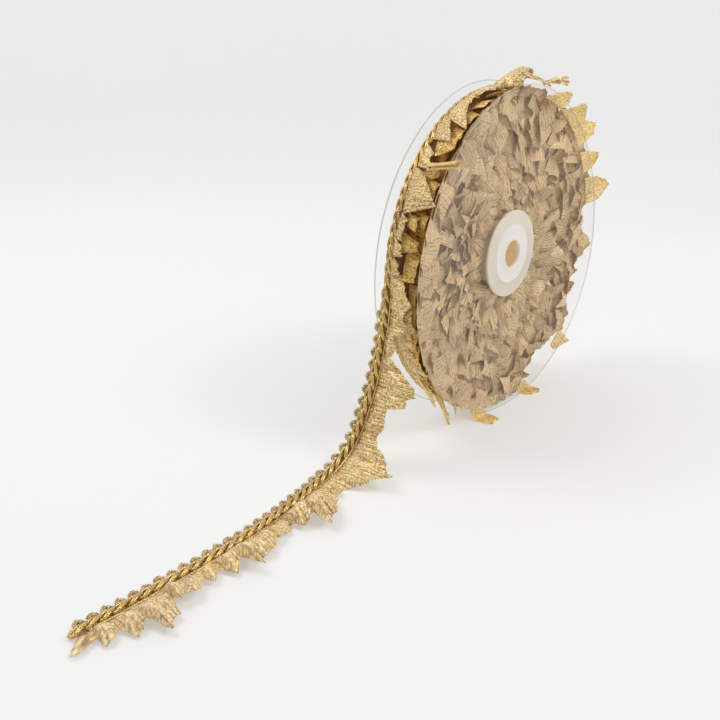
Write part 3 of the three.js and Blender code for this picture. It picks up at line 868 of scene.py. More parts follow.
half = hub_profile()
loop = [(r, HUB_MIDDLE - out, inside) for r, out, inside in half]
loop += [(r, HUB_MIDDLE + out, inside) for r, out, inside in half[::-1][1:-1]]
loop_radius = np.array([r for r, y, inside in loop])
loop_y = np.array([y for r, y, inside in loop])
hub_angles = np.linspace(0, math.tau, HUB_STEPS, endpoint=False)
hub = make_mesh(
    "hub",
    np.concatenate([on_reel(loop_radius, angle, loop_y) for angle in hub_angles]),
    grid_faces(HUB_STEPS, len(loop), close_rows=True, close_columns=True),
)
for material in (hub_white, barrel_tan, cap_thin):
    hub.data.materials.append(material)
cap_from = HUB_HALF - BOSS_HEIGHT - CAP_THICKNESS - EDGE_MARGIN
for index, face in enumerate(hub.data.polygons):
    start_radius, start_y, start_inside = loop[index % len(loop)]
    end_radius, _, end_inside = loop[(index + 1) % len(loop)]
    outside_boss = min(start_radius, end_radius) > BOSS_RADIUS + EDGE_MARGIN
    if start_inside and end_inside:
        face.material_index = 1
    elif outside_boss and abs(start_y - HUB_MIDDLE) > cap_from:
        face.material_index = 2
hub.data.set_sharp_from_angle(angle=SHARP_EDGE)
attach(hub, "root")
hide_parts("core")
count(hub)

# %% [markdown]
# ## One Geometry Nodes tree for all that repeats
# Chain stitches, gimp loops and the petals of the wound turns all do the same thing: they come at an even
# pitch along the trim, with their own direction there. So one tree serves them. It takes a line whose points
# know which way the trim runs and which way is out, divides it at the pitch, and sets one of a collection's
# motifs on each point, turned and sized a little at random from a fixed seed.
# %% Tree that repeats motifs along the trim
repeat_tree = bpy.data.node_groups.new("motifs along the trim", "GeometryNodeTree")
repeat_tree.is_modifier = True
for name, kind in (
    ("Line", "NodeSocketGeometry"),
    ("Motifs", "NodeSocketCollection"),
    ("Pitch", "NodeSocketFloat"),
    ("Seed", "NodeSocketInt"),
    ("Most turn", "NodeSocketVector"),
    ("Smallest", "NodeSocketFloat"),
    ("Largest", "NodeSocketFloat"),
    ("Crease angle", "NodeSocketFloat"),
    ("Material", "NodeSocketMaterial"),
):
    repeat_tree.interface.new_socket(name, in_out="INPUT", socket_type=kind)
repeat_tree.interface.new_socket("Mesh", in_out="OUTPUT", socket_type="NodeSocketGeometry")

given = add_node(repeat_tree, "NodeGroupInput").outputs
curve = add_node(repeat_tree, "GeometryNodeMeshToCurve", {"Mesh": given["Line"]})
evened = add_node(
    repeat_tree,
    "GeometryNodeResampleCurve",
    {"Curve": curve.outputs[0], "Length": given["Pitch"]},
    mode="LENGTH",
)
runs = add_node(
    repeat_tree,
    "GeometryNodeInputNamedAttribute",
    {"Name": "forward"},
    data_type="FLOAT_VECTOR",
)
outward = add_node(
    repeat_tree,
    "GeometryNodeInputNamedAttribute",
    {"Name": "outward"},
    data_type="FLOAT_VECTOR",
)
facing = add_node(
    repeat_tree,
    "FunctionNodeAxesToRotation",
    {0: runs.outputs[0], 1: outward.outputs[0]},
    primary_axis="X",
    secondary_axis="Z",
)
print("tree so far:", len(repeat_tree.nodes), "nodes")

# %% [markdown]
# Each motif then gets a small turn and a size of its own within the given limits. One of the collection's
# motifs is picked by chance, everything becomes real mesh, and edges that bend less than the crease angle are
# shaded smooth.
# %% Chance, motifs and shading in the tree
least = add_node(
    repeat_tree,
    "ShaderNodeVectorMath",
    {0: given["Most turn"], 1: (-1.0, -1.0, -1.0)},
    operation="MULTIPLY",
)
tilt = add_node(
    repeat_tree,
    "FunctionNodeRandomValue",
    {0: least.outputs[0], 1: given["Most turn"], "Seed": given["Seed"]},
    data_type="FLOAT_VECTOR",
)
tilted = add_node(repeat_tree, "FunctionNodeEulerToRotation", {0: tilt.outputs[0]})
turned = add_node(
    repeat_tree,
    "FunctionNodeRotateRotation",
    {0: facing.outputs[0], 1: tilted.outputs[0]},
    rotation_space="LOCAL",
)
size = add_node(
    repeat_tree,
    "FunctionNodeRandomValue",
    {2: given["Smallest"], 3: given["Largest"], "Seed": given["Seed"]},
    data_type="FLOAT",
)
motifs = add_node(
    repeat_tree,
    "GeometryNodeCollectionInfo",
    {"Collection": given["Motifs"], "Separate Children": True, "Reset Children": True},
)
placed = add_node(
    repeat_tree,
    "GeometryNodeInstanceOnPoints",
    {
        "Points": evened.outputs[0],
        "Instance": motifs.outputs[0],
        "Pick Instance": True,
        "Rotation": turned.outputs[0],
        "Scale": size.outputs[1],
    },
)
choice = add_node(
    repeat_tree,
    "FunctionNodeRandomValue",
    {4: 0, 5: 1000, "Seed": given["Seed"]},
    data_type="INT",
)
repeat_tree.links.new(choice.outputs[2], placed.inputs["Instance Index"])
real = add_node(repeat_tree, "GeometryNodeRealizeInstances", {0: placed.outputs[0]})
bend_angle = add_node(repeat_tree, "GeometryNodeInputMeshEdgeAngle")
gentle = add_node(
    repeat_tree,
    "FunctionNodeCompare",
    {0: bend_angle.outputs[0], 1: given["Crease angle"]},
    operation="LESS_THAN",
)
rounded = add_node(
    repeat_tree,
    "GeometryNodeSetShadeSmooth",
    {0: real.outputs[0], 2: gentle.outputs[0]},
    domain="EDGE",
)
painted = add_node(
    repeat_tree,
    "GeometryNodeSetMaterial",
    {"Geometry": rounded.outputs[0], "Material": given["Material"]},
)
add_node(repeat_tree, "NodeGroupOutput", {0: painted.outputs[0]})
REPEAT_SOCKETS = {
    item.name: item.identifier for item in repeat_tree.interface.items_tree if item.in_out == "INPUT"
}
print("tree with inputs", ", ".join(REPEAT_SOCKETS))


# %% [markdown]
# A line for the tree is a mesh of points and edges that carries two directions at each point. Every input of
# the tree is set by the identifier of its socket before the piece is first worked out. The result becomes a
# plain mesh, so the directions and the motifs themselves can go.
# %% Setting motifs along a line
def repeat_motifs(
    name, line, forward, outward, motifs, pitch, material, seed, most_turn, smallest, largest, crease=180
):
    """Sets motifs along a line in reel millimetres and returns the plain mesh object."""
    mesh = bpy.data.meshes.new(name)
    mesh.from_pydata(in_frame(line).tolist(), [(i, i + 1) for i in range(len(line) - 1)], [])
    for label, values in (("forward", forward), ("outward", outward)):
        stored = mesh.attributes.new(label, "FLOAT_VECTOR", "POINT")
        stored.data.foreach_set("vector", np.asarray(values, np.float32).ravel())
    thing = bpy.data.objects.new(name, mesh)
    bpy.context.scene.collection.objects.link(thing)
    pool = bpy.data.collections.new(name + " motifs")
    bpy.context.scene.collection.children.link(pool)
    for motif in motifs:
        pool.objects.link(motif)
    modifier = thing.modifiers.new("repeat", "NODES")
    modifier.node_group = repeat_tree
    values = {
        "Motifs": pool,
        "Pitch": pitch * MM,
        "Seed": seed,
        "Most turn": most_turn,
        "Smallest": smallest,
        "Largest": largest,
        "Crease angle": math.radians(crease),
        "Material": material,
    }
    for label, value in values.items():
        modifier[REPEAT_SOCKETS[label]] = value
    apply_modifiers(thing)
    for label in ("forward", "outward"):
        if label in thing.data.attributes:
            thing.data.attributes.remove(thing.data.attributes[label])
    for motif in motifs:
        bpy.data.objects.remove(motif)
    bpy.data.collections.remove(pool)
    if not thing.data.materials:
        thing.data.materials.append(material)
    count(thing)
    return thing


print("tree has", len(repeat_tree.nodes), "nodes")


# %% [markdown]
# ## Chain stitches and gimp loops
# A cord is a round or slightly flat section swept along a centre line. The line is drawn softly through a
# few points, and the section's radius may change from point to point.
# %% Swept cords
LOOP_PITCH = 5.3  # of the chain's stitches and of the gimp's loops


def sweep(centre, radii, sides, squash):
    """Points and faces of a cord along a centre line, with a radius for each of its points."""
    centre = np.asarray(centre, float)
    padded = np.concatenate([centre[:1], centre, centre[-1:]])
    tangent = padded[2:] - padded[:-2]
    tangent /= np.linalg.norm(tangent, axis=1)[:, None]
    across = np.cross([0.0, 0.0, 1.0], tangent)
    across /= np.maximum(np.linalg.norm(across, axis=1), 1e-6)[:, None]
    up = np.cross(tangent, across)
    turns = np.linspace(0, math.tau, sides, endpoint=False)[None, :, None]
    ring = across[:, None] * np.cos(turns) + up[:, None] * squash * np.sin(turns)
    points = centre[:, None] + ring * np.asarray(radii)[:, None, None]
    return points.reshape(-1, 3), grid_faces(len(centre), sides, close_columns=True)


def motif(name, points, faces, uv=None):
    """A motif's mesh, in millimetres about the point that it is set on."""
    return make_mesh(name, (np.asarray(points) * MM - ORIGIN) / MM, faces, uv)


def smooth_line(points, steps):
    """A soft open line through a few points, by Catmull-Rom."""
    points = np.asarray(points, float)
    padded = np.vstack([2 * points[0] - points[1], points, 2 * points[-1] - points[-2]])
    line = []
    for i in range(1, len(padded) - 2):
        a, b, c, d = padded[i - 1 : i + 3]
        for t in np.linspace(0, 1, steps, endpoint=False):
            squared = (2 * a - 5 * b + 4 * c - d) * t**2
            cubed = (3 * b - a - 3 * c + d) * t**3
            line.append(0.5 * (2 * b + (c - a) * t + squared + cubed))
    line.append(points[-1])
    return np.array(line)


print(f"one stitch every {LOOP_PITCH} mm")

# %% [markdown]
# A chain stitch is one teardrop of cord. Its two legs come up inside the head of the stitch before, cross
# over it and swing out to their own round head. The leg on the ribbon's side is the heavier one. On the roll
# the stitches are pulled tighter than on the loose end.
# %% Chain stitch
RIBBON_LEG = 0.86  # radius of the chain's cord on the ribbon's side
GIMP_LEG = 0.66
TIGHT_STITCH = 0.84  # width and height of a stitch on the roll, against one of the loose end
CORD_SQUASH = 0.85  # height of the cord's section against its width
STITCH_SIDES = 10
STITCH_LINE = [  # x, y, z of the cord's middle: up the ribbon's side, round the head, down the gimp's side
    (-1.6, -0.6, -0.3),
    (0.2, -0.1, 0.8),
    (2.4, 0.8, 1.1),
    (4.4, 1.35, 0.6),
    (5.7, 1.2, -0.1),
    (6.5, 0.2, -0.1),
    (5.9, -0.7, -0.1),
    (4.6, -1.3, 0.2),
    (2.8, -1.45, 0.4),
    (1.0, -1.15, 0.35),
    (-0.6, -0.5, -0.5),
]


def chain_stitch(name, slim=1.0):
    """x runs along the trim to its free end, +y is the ribbon's side and z is out."""
    line = smooth_line(STITCH_LINE, 4) * [1.0, slim, slim]
    share = np.linspace(0, 1, len(line))
    radii = RIBBON_LEG + (GIMP_LEG - RIBBON_LEG) * smooth(0.35, 0.6, share)
    radii *= slim * (0.75 + 0.25 * smooth(0, 0.15, share))
    points, faces = sweep(line, radii, STITCH_SIDES, CORD_SQUASH)
    return motif(name, points, faces)


print("a stitch goes through", len(STITCH_LINE), "points")

# %% [markdown]
# A gimp loop is a half oval of crimped cord, and its ends lie under the chain. The crimps make the cord
# thicker and thinner by turns, and no loop is bent quite like its neighbour.
# %% Gimp loop
GIMP_CORD = 0.85  # radius
GIMP_SPAN = 1.4  # half of a loop's width between the middles of its cord
GIMP_REACH = 1.6
GIMP_RISE = 0.3
GIMP_SQUASH = 0.8
GIMP_CRIMP = 0.28  # how much thicker and thinner the crimps make the cord, as a share
GIMP_TUCK = 0.15  # how far each end runs on under the chain, as a share of the half oval
GIMP_KINDS = 4


def gimp_loop(name, segments, sides, seed):
    """A crimped half oval. x runs along the trim and +y is away from the ribbon."""
    rng = np.random.default_rng(seed)
    t = np.linspace(-GIMP_TUCK, 1 + GIMP_TUCK, segments)
    bow = np.clip(np.sin(math.pi * t), 0, 1)
    x = -GIMP_SPAN * np.cos(math.pi * t)
    y = GIMP_REACH * bow**0.8
    z = GIMP_RISE * bow + rng.uniform(-0.22, 0.22, segments)
    jitter = 1 + 0.08 * rng.uniform(-1, 1, segments)
    crimp = 1 + GIMP_CRIMP * np.cos(np.arange(segments) * math.tau / 3) + rng.uniform(-0.1, 0.1, segments)
    centre = np.stack([x * jitter, y * jitter, z], axis=-1)
    points, faces = sweep(centre, GIMP_CORD * crimp, sides, GIMP_SQUASH)
    return motif(name, points, faces)


print(GIMP_KINDS, "kinds of gimp loop")

# %% [markdown]
# ## Where the trim runs
# The last turn lies on the roll at its full radius, with its chain near the far disc. It leaves the reel at
# its leftmost point and hangs from there to the table. The same few points as in the solids give that route,
# joined by the same kind of curve.
# %% Route of the trim
CHAIN_Y = 17.5
ROLL_RADIUS = 73.8
TURN_RISE = 2.3  # how much further out the trim lies after one more turn
ROUTE = [  # x, y of the chain, z
    (-72.9, 17.5, 74.4),
    (-73.8, 17.5, 67.0),
    (-74.8, 17.5, 59.5),
    (-76.5, 17.7, 51.5),
    (-78.4, 18.0, 43.0),
    (-81.0, 18.4, 34.5),
    (-84.4, 18.9, 26.0),
    (-90.0, 19.7, 14.0),
    (-95.2, 20.2, 8.0),
    (-102.0, 20.4, 3.8),
    (-109.0, 20.1, 1.7),
    (-117.0, 19.2, 0.9),
    (-133.0, 16.2, 0.9),
    (-150.0, 14.2, 0.9),
    (-167.0, 13.3, 0.9),
    (-183.0, 13.1, 0.9),
    (-197.0, 13.5, 0.9),
    (-209.0, 14.1, 0.9),
    (-221.0, 14.6, 0.9),
    (-236.0, 15.3, 0.9),
]
TOWARDS_RIBBON = np.array([0.0, -1.0, 0.0])
print("route of", len(ROUTE), "points")

# %% [markdown]
# Everything on the trim is placed by its distance along this route, so one function gives the point there,
# the way the trim runs and the way out of it. Another does the same on the roll, by degrees and radius.
# %% Places along the trim
def between(first, second, start, end, t):
    """The point at t on a straight line that is at first when t is start and at second when it is end."""
    return first * (end - t) / (end - start) + second * (t - start) / (end - start)


def centripetal(points, steps=60):
    """Dense points on the centripetal Catmull-Rom curve through the given ones."""
    points = np.asarray(points, float)
    padded = np.vstack([2 * points[0] - points[1], points, 2 * points[-1] - points[-2]])
    dense = []
    for i in range(1, len(padded) - 2):
        p = padded[i - 1 : i + 3]
        knots = np.concatenate([[0], np.cumsum(np.linalg.norm(np.diff(p, axis=0), axis=1) ** 0.5)])
        for t in np.linspace(knots[1], knots[2], steps, endpoint=False):
            a = [between(p[k], p[k + 1], knots[k], knots[k + 1], t) for k in range(3)]
            b = [between(a[k], a[k + 1], knots[k], knots[k + 2], t) for k in range(2)]
            dense.append(between(b[0], b[1], knots[1], knots[2], t))
    dense.append(points[-1])
    return np.array(dense)


def length_along(line):
    """The distance of each point of a line from its start."""
    return np.concatenate([[0], np.cumsum(np.linalg.norm(np.diff(line, axis=0), axis=1))])


route = centripetal(ROUTE)
route_along = length_along(route)
TAIL_LENGTH = route_along[-1]
HEADING_REACH = 0.8  # the way the trim runs is taken from this far before and after a point


def on_route(along):
    return np.stack([np.interp(along, route_along, route[:, k]) for k in range(3)], axis=-1)


def tail_at(along):
    """On the loose end: points under the chain, the way the trim runs and the way out of it."""
    along = np.asarray(along, float)
    forward = on_route(along + HEADING_REACH) - on_route(along - HEADING_REACH)
    forward /= np.linalg.norm(forward, axis=-1, keepdims=True)
    out = np.cross(forward, TOWARDS_RIBBON)
    out /= np.linalg.norm(out, axis=-1, keepdims=True)
    return on_route(along), forward, out


def turn_at(degrees, radius, y):
    """On the roll: points, the way the trim runs (to larger angles) and the way out."""
    angle = np.radians(degrees)
    point = on_reel(radius, angle, y)
    forward = np.stack([-np.sin(angle), np.zeros_like(angle), np.cos(angle)], axis=-1)
    out = np.stack([np.cos(angle), np.zeros_like(angle), np.sin(angle)], axis=-1)
    return point, forward, out


print(f"loose end {TAIL_LENGTH:.1f} mm along the chain")

# %% [markdown]
# ## The loose end's ribbon
# This is the piece that shows best, so it is modelled as one continuous sheet. A table gives each petal and
# each notch of its cut edge, as in the solids: how far it reaches, how high its fold stands and how it leans
# towards the free end.
# %% Folds of the loose end
FOLDS = np.array(
    [  # along, reach, back, edge, slide
        (0, 7, 0.6, 0, 0),
        (6, 10.5, 1.6, 0.6, 0),
        (12.5, 8, 0.4, 0, 0.5),
        (16.5, 10, 1.6, 0.8, 0),
        (20, 4, 0.4, 0, 0),
        (24, 6.5, 1.2, 0.5, 0),
        (29, 4, 0.4, 0, 0),
        (32, 9, 1, 0.6, 0),
        (34, 11, 0.8, 0.4, 0),
        (37, 18, 1.6, 1.5, 0),
        (41.5, 21, 1.2, 2.5, 0),
        (44, 16, 1, 1, 0),
        (47, 17, 1, 1, 0),
        (50, 9, 0.6, 0, 0),
        (59, 11, 1.6, 1, 0),
        (62, 8.5, 0.6, 0, 0),
        (67, 11, 1, 0.6, 0),
        (70, 17.5, 1.4, 1, -1),
        (77, 24.5, 1.8, 2, 0),
        (86, 15.5, 1.6, 1, 0),
        (91, 9, 0.8, 0.3, 0),
        (96, 11.7, 1.6, 0.8, 0),
        (99, 7.7, 0.4, 0, 0),
        (103, 14.2, 2.5, 1.5, 0),
        (110, 18.2, 4.5, 2.5, 1),
        (115.5, 22.2, 6.5, 3, 2),
        (117.5, 11.7, 4.5, 3.5, 0),
        (121.5, 11.7, 3.5, 0.5, 2),
        (125, 6.7, 0.8, 0, 0),
        (129, 10.2, 2, 1.2, 0),
        (132, 8.2, 0.8, 0.5, 0),
        (140, 12.7, 2.4, 1.5, 1),
        (147, 13.2, 3.2, 1.2, 2),
        (149.5, 7.7, 1.2, 0.8, 0),
        (153, 19.2, 5, 2.5, 0.5),
        (155.5, 8.2, 3, 3, 0),
        (160, 13.2, 4.5, 1, 0.5),
        (163, 6.2, 1, 0.5, 0),
        (168, 10.7, 2.4, 0.5, 1),
        (171, 7.2, 0.8, 0.5, 0),
        (177, 11.7, 2, 1.5, 0),
        (183, 11.7, 3.4, 3, 2),
        (186, 8.2, 1.5, 2, 0),
        (189, 17.2, 3.2, 1, 0),
        (195.5, 19.2, 4.2, 0.4, 1),
        (198.5, 10.2, 1.4, 1, 0),
        (203.5, 15.7, 3.4, 0.5, 1),
        (206.5, 6.7, 1, 0.5, 0),
        (210.5, 11.7, 3, 0.4, 3.5),
        (212.4, 6, 1, 0.6, 1.5),
        (213.4, 8.6, 1.6, 0.4, 8),
        (214.1, 7.4, 0.8, 0, 10.5),
    ],
    float,
)
print(len(FOLDS), "rows of folds, up to", FOLDS[:, 1].max(), "mm long")


def eased(along, column):
    """A column of the folds' table, eased in and out at each row."""
    keys = FOLDS[:, 0]
    index = np.clip(np.searchsorted(keys, along, side="right") - 1, 0, len(keys) - 2)
    share = smooth(keys[index], keys[index + 1], along)
    return FOLDS[index, column] + share * (FOLDS[index + 1, column] - FOLDS[index, column])


# %% [markdown]
# Cloth that is gathered and crumpled is never quite even, so two kinds of fixed random lines change it along
# the trim. One wanders softly, for fraying and for the sheet's rise and fall. The other keeps to one level
# and then jumps to the next, which makes lobes that overlap like small petals.
# %% Lines of chance
WANDER_LENGTH = 2500.0  # the longest run of trim that the lines are needed for


def wander(along, pitch, seed):
    """A soft fixed random line along the trim, from -1 to 1."""
    rng = np.random.default_rng(seed)
    values = rng.uniform(-1, 1, math.ceil(WANDER_LENGTH / pitch) + 6)
    index = np.floor(along / pitch).astype(int)
    share = smooth(0, 1, along / pitch - index)
    return values[index + 2] * (1 - share) + values[index + 3] * share


def stepped(along, pitch, jump, seed):
    """A fixed random line along the trim that keeps to one level and jumps to the next, from -1 to 1."""
    rng = np.random.default_rng(seed)
    ends = np.cumsum(rng.uniform(0.5, 1.5, math.ceil(WANDER_LENGTH / pitch)) * pitch)
    values = rng.uniform(-1, 1, len(ends) + 1)
    index = np.searchsorted(ends, along)
    share = smooth(ends[index] - jump, ends[index], along)
    return values[index] + (values[index + 1] - values[index]) * share


print("two kinds of random line")

# %% [markdown]
# The sheet is a grid of points: steps along the chain and rows from the gathers to the cut edge. Its ribs
# are real ridges, and the cut edge is scalloped by them and frayed. Everything that lifts the sheet is added
# up in one height over the gathers, and at the end nothing may lie below the table.
# %% Ribbon of the loose end
RIBBON_START = -1.6  # the gathers run under the chain to the gimp
RIBBON_ROOT = 2.0  # from the chain's middle to where the petals begin
RIBBON_STEP = 0.32
RIBBON_ROWS = 22
RIBBON_THICKNESS = 0.4
RIB_HEIGHT = 0.08
SCALLOP_DEPTH = 0.25
SCALLOP_INSET = 0.12
FRAYS = [(0.45, 1.1, 3), (0.5, 3.1, 4)]  # reach, pitch, seed
FOLD_SWELL = 1.2  # how much fuller a fold is than its height in the table, and how sharp
CRUMPLES = [(1.2, 4.3, 3, 7), (0.8, 2.7, -5, 8)]  # height, pitch, slant from root to edge, seed
GATHER_HEIGHT = 0.5
GATHER_PITCH = 1.5
LOBE_PITCH = 4.2
LOBE_JUMP = 0.7  # length over which one lobe goes over into the next
LOBE_REACH = 0.09  # share of the petal's length
LOBE_HEIGHT = 0.9
LOBE_SEED = 2
FLOOR_CLEARANCE = 0.05

along = np.arange(0, TAIL_LENGTH, RIBBON_STEP)
A, S = np.meshgrid(along, np.linspace(0, 1, RIBBON_ROWS), indexing="ij")
point, forward, out = tail_at(A)

scallop = SCALLOP_DEPTH * np.abs(np.sin(math.pi * along / RIB_PITCH)) - SCALLOP_INSET
fray = sum(size * wander(along, pitch, seed) for size, pitch, seed in FRAYS)
lobes = 1 + LOBE_REACH * stepped(along, LOBE_PITCH, LOBE_JUMP, LOBE_SEED)
reach = np.interp(along, FOLDS[:, 0], FOLDS[:, 1]) * lobes + scallop + fray
back, edge, slide = (eased(A, column) for column in (2, 3, 4))
across = RIBBON_START + (reach[:, None] + RIBBON_ROOT - RIBBON_START) * S
lifted = np.clip((across - RIBBON_ROOT) / reach[:, None], 0, 1)

height = FOLD_SWELL * back * np.sin(math.pi * lifted) ** FOLD_SWELL + edge * lifted**2
crumple = sum(size * wander(A + slant * S, pitch, seed) for size, pitch, slant, seed in CRUMPLES)
height += crumple * smooth(0, 0.5, lifted)
height += LOBE_HEIGHT * (1 + stepped(A, LOBE_PITCH, LOBE_JUMP, LOBE_SEED)) * smooth(0.15, 0.7, lifted)
at_gathers = smooth(0, 0.1, lifted) * (1 - smooth(0.1, 0.5, lifted))
height += GATHER_HEIGHT * wander(A, GATHER_PITCH, 9) * at_gathers
rib_turn = math.tau * (A + 0.6 * wander(A, 9, 5)) / RIB_PITCH
height += RIB_HEIGHT * np.sin(rib_turn) * smooth(0.02, 0.15, S)

position = point + TOWARDS_RIBBON * across[..., None]
position = position + forward * (slide * S**1.3)[..., None] + out * height[..., None]
position[..., 2] = np.maximum(position[..., 2], RIBBON_THICKNESS / 2 + FLOOR_CLEARANCE)
tail_ribbon = make_mesh(
    "tail_ribbon_cloth",
    position.reshape(-1, 3),
    [face[::-1] for face in grid_faces(len(along), RIBBON_ROWS)],
    np.stack([A, across], axis=-1).reshape(-1, 2),
)
tail_ribbon.data.materials.append(ribbon_gold)
thicken(tail_ribbon, RIBBON_THICKNESS)
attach(tail_ribbon, "root")
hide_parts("tail_ribbon")
count(tail_ribbon)

# %% [markdown]
# ## The loose end's chain, cord and gimp
# The chain is the stitch motif repeated at its pitch, a little above the ribbon's gathers.
# %% Chain of the loose end
CHAIN_LIFT = 0.7
CHAIN_CHANCE = {"most_turn": (0.09, 0.05, 0.05), "smallest": 0.97, "largest": 1.04}
chain_along = np.arange(0, TAIL_LENGTH - 2, 1.0)
point, forward, out = tail_at(chain_along)
tail_chain = repeat_motifs(
    "tail_chain_cord",
    point + out * CHAIN_LIFT,
    forward,
    out,
    [chain_stitch("stitch")],
    LOOP_PITCH,
    cord_gold,
    seed=11,
    **CHAIN_CHANCE,
)
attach(tail_chain, "root")
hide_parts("tail_chain")

# %% [markdown]
# A thin straight cord lies between the chain and the ribbon. It is twisted from two plies, so its section is
# slightly waisted and turns along the line.
# %% Edge cord of the loose end
CORD_RADIUS = 0.42
CORD_SIDES = 10
CORD_WAIST = 0.2  # how much the two plies stand out from a round section, as a share
CORD_TWIST = 2.6  # length of one turn of the plies
CORD_ASIDE = 2.4  # from the chain's middle towards the ribbon
CORD_LIFT = 0.6


def twisted_cord(name, line, across, out, radius, material):
    """A two-ply cord along a line, closed at both ends."""
    turns = np.linspace(0, math.tau, CORD_SIDES, endpoint=False)
    phase = math.tau * length_along(line) / CORD_TWIST
    waist = 1 + CORD_WAIST * np.cos(2 * (turns[None] - phase[:, None]))
    ring = across[:, None] * np.cos(turns)[None, :, None] + out[:, None] * np.sin(turns)[None, :, None]
    points = line[:, None] + ring * (radius * waist)[..., None]
    faces = [face[::-1] for face in grid_faces(len(line), CORD_SIDES, close_columns=True)]
    first = tuple(range(CORD_SIDES))
    last = tuple(len(line) * CORD_SIDES - 1 - i for i in range(CORD_SIDES))
    cord = make_mesh(name, points.reshape(-1, 3), [*faces, first, last])
    cord.data.materials.append(material)
    count(cord)
    return cord


cord_along = np.arange(0, TAIL_LENGTH - 1, 0.5)
point, forward, out = tail_at(cord_along)
tail_line = twisted_cord(
    "tail_edge_cord",
    point + TOWARDS_RIBBON * CORD_ASIDE + out * CORD_LIFT,
    np.broadcast_to(TOWARDS_RIBBON, point.shape),
    out,
    CORD_RADIUS,
    cord_gold,
)
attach(tail_line, "root")

# %% [markdown]
# The gimp loops stand out on the other side of the chain. Near the roll they are folded behind it, and where
# the trim lies on the table they spread a little further.
# %% Gimp of the loose end
GIMP_START = 12.0
GIMP_ASIDE = 1.7  # from the chain's middle away from the ribbon
GIMP_SPREAD = 0.6  # how much further the loops stand out on the table
GIMP_LIFT = 0.2

gimp_along = np.arange(GIMP_START, TAIL_LENGTH - 1, 1.0)
point, forward, out = tail_at(gimp_along)
spread = smooth(30, 60, gimp_along)[:, None]
tail_gimp = repeat_motifs(
    "tail_gimp_loops",
    point - TOWARDS_RIBBON * (GIMP_ASIDE + GIMP_SPREAD * spread) + out * GIMP_LIFT,
    -forward,
    out,
    [gimp_loop(f"gimp {k}", 25, 8, k) for k in range(GIMP_KINDS)],
    LOOP_PITCH,
    gimp_gold,
    seed=5,
    most_turn=(0.1, 0.08, 0.12),
    smallest=0.92,
    largest=1.08,
)
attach(tail_gimp, "root")
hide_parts("tail_picot")

# %% [markdown]
# The loose end is soft, and the chain, its edge cord and the gimp are sewn along it. Here only the length of
# its sheet along the chain is printed.
# %% Length of the loose end's sheet
print(f"sheet of {TAIL_LENGTH:.0f} mm along the chain")

# %% [markdown]
# ## The wound turns
# Twenty-five turns lie on the hub. What fills the reel is one crumpled ring, a little smaller than the roll,
# which only shows between the petals. It is painted dark, as painted shade deep among the turns. It is made
# as rings of points round the axis with fixed random hollows, so no gap looks through to the hub.
# %% Crumpled body of the roll
BODY_STEPS = 240
BODY_NEAR = [(17.1, 4.0), (21, 5.2)]  # radius, depth behind the near disc
BODY_NEAR += [(r, 8.2) for r in np.linspace(25, 64.5, 15)]
BODY_OUTSIDE = [  # radius, y
    (66.0, 10.2),
    (66.0, 12.0),
    (67.5, 14.0),
    (70.6, 15.6),
    (71.2, 17.5),
    (70.8, 20.0),
]
BODY_FAR = [(70.0, 1.6)]  # radius, gap to the far disc
BODY_FAR += [(r, 1.7) for r in np.linspace(64, 22, 12)]
BODY_FAR += [(17.1, 1.8)]
HOLLOWED_TO = 15.0  # y up to which the outside has hollows, clear of the chain
HOLLOW_DEPTHS = (-2.6, 1.4)  # inwards and outwards
DENT = 1.6  # of the near side, to either side
BODY_UV = (1.7, 3.0)  # millimetres of cloth for a step round the axis and for a step of the section

body_profile = [(r, INNER_FACE + depth) for r, depth in BODY_NEAR]
body_profile += BODY_OUTSIDE
body_profile += [(r, FAR_FACE - gap) for r, gap in BODY_FAR]
body_radius, body_y = np.array(body_profile).T
on_near = np.arange(len(body_profile)) < len(BODY_NEAR)
on_outside = ~on_near & (body_y < HOLLOWED_TO)
rng = np.random.default_rng(21)
rows = []
for step in range(BODY_STEPS):
    angle = math.tau * step / BODY_STEPS
    r = body_radius + on_outside * rng.uniform(*HOLLOW_DEPTHS, len(body_radius))
    y = body_y + on_near * (film_at(body_radius, angle) + rng.uniform(-DENT, DENT, len(body_radius)))
    rows.append(on_reel(r, angle, y))
body_u = np.arange(BODY_STEPS) * BODY_UV[0]
body_v = np.arange(len(body_profile)) * BODY_UV[1]
roll_body = make_mesh(
    "roll_body",
    np.concatenate(rows),
    grid_faces(BODY_STEPS, len(body_profile), close_rows=True, close_columns=True),
    np.stack(np.meshgrid(body_u, body_v, indexing="ij"), axis=-1).reshape(-1, 2),
)
roll_body.data.materials.append(ribbon_shaded_dark)
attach(roll_body, "root")
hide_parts("roll")
count(roll_body)

# %% [markdown]
# ## Petals against the near disc
# Seen through the near disc, the ruffled edges of all the turns crowd against the film: hundreds of small
# ribbed flaps with cut corners, bent and folded over one another. One function makes a flap: it is gathered
# at its root, creased along its length, folded at one corner and cut aslant.
# %% Shapes of petal
PETAL_COLUMNS = 15
PETAL_ROWS = 11
SLANTS = (0.1, 0.4)  # of the cut edge, as a share of the length
RAGGED_EDGE = (-0.07, 0.04)  # shares of the length
LEANS = (-0.25, 0.25)  # to the side, as a share of the length
FLAT_SIDE = (0.0, 0.2)  # how steeply the petal falls from its crease on the one side
FALLING_SIDE = (0.4, 1.1)  # and on the other
CORNER_FOLDS = (1.3, 1.8)  # where the fold across a corner lies, if 0 is the root and 2.2 the corner
CORNER_DROP = 0.35  # share of the width
ROOT_DEPTHS = (3.0, 5.0)  # how far the gathers lie behind the cut edge
PETAL_WAVE = 0.2


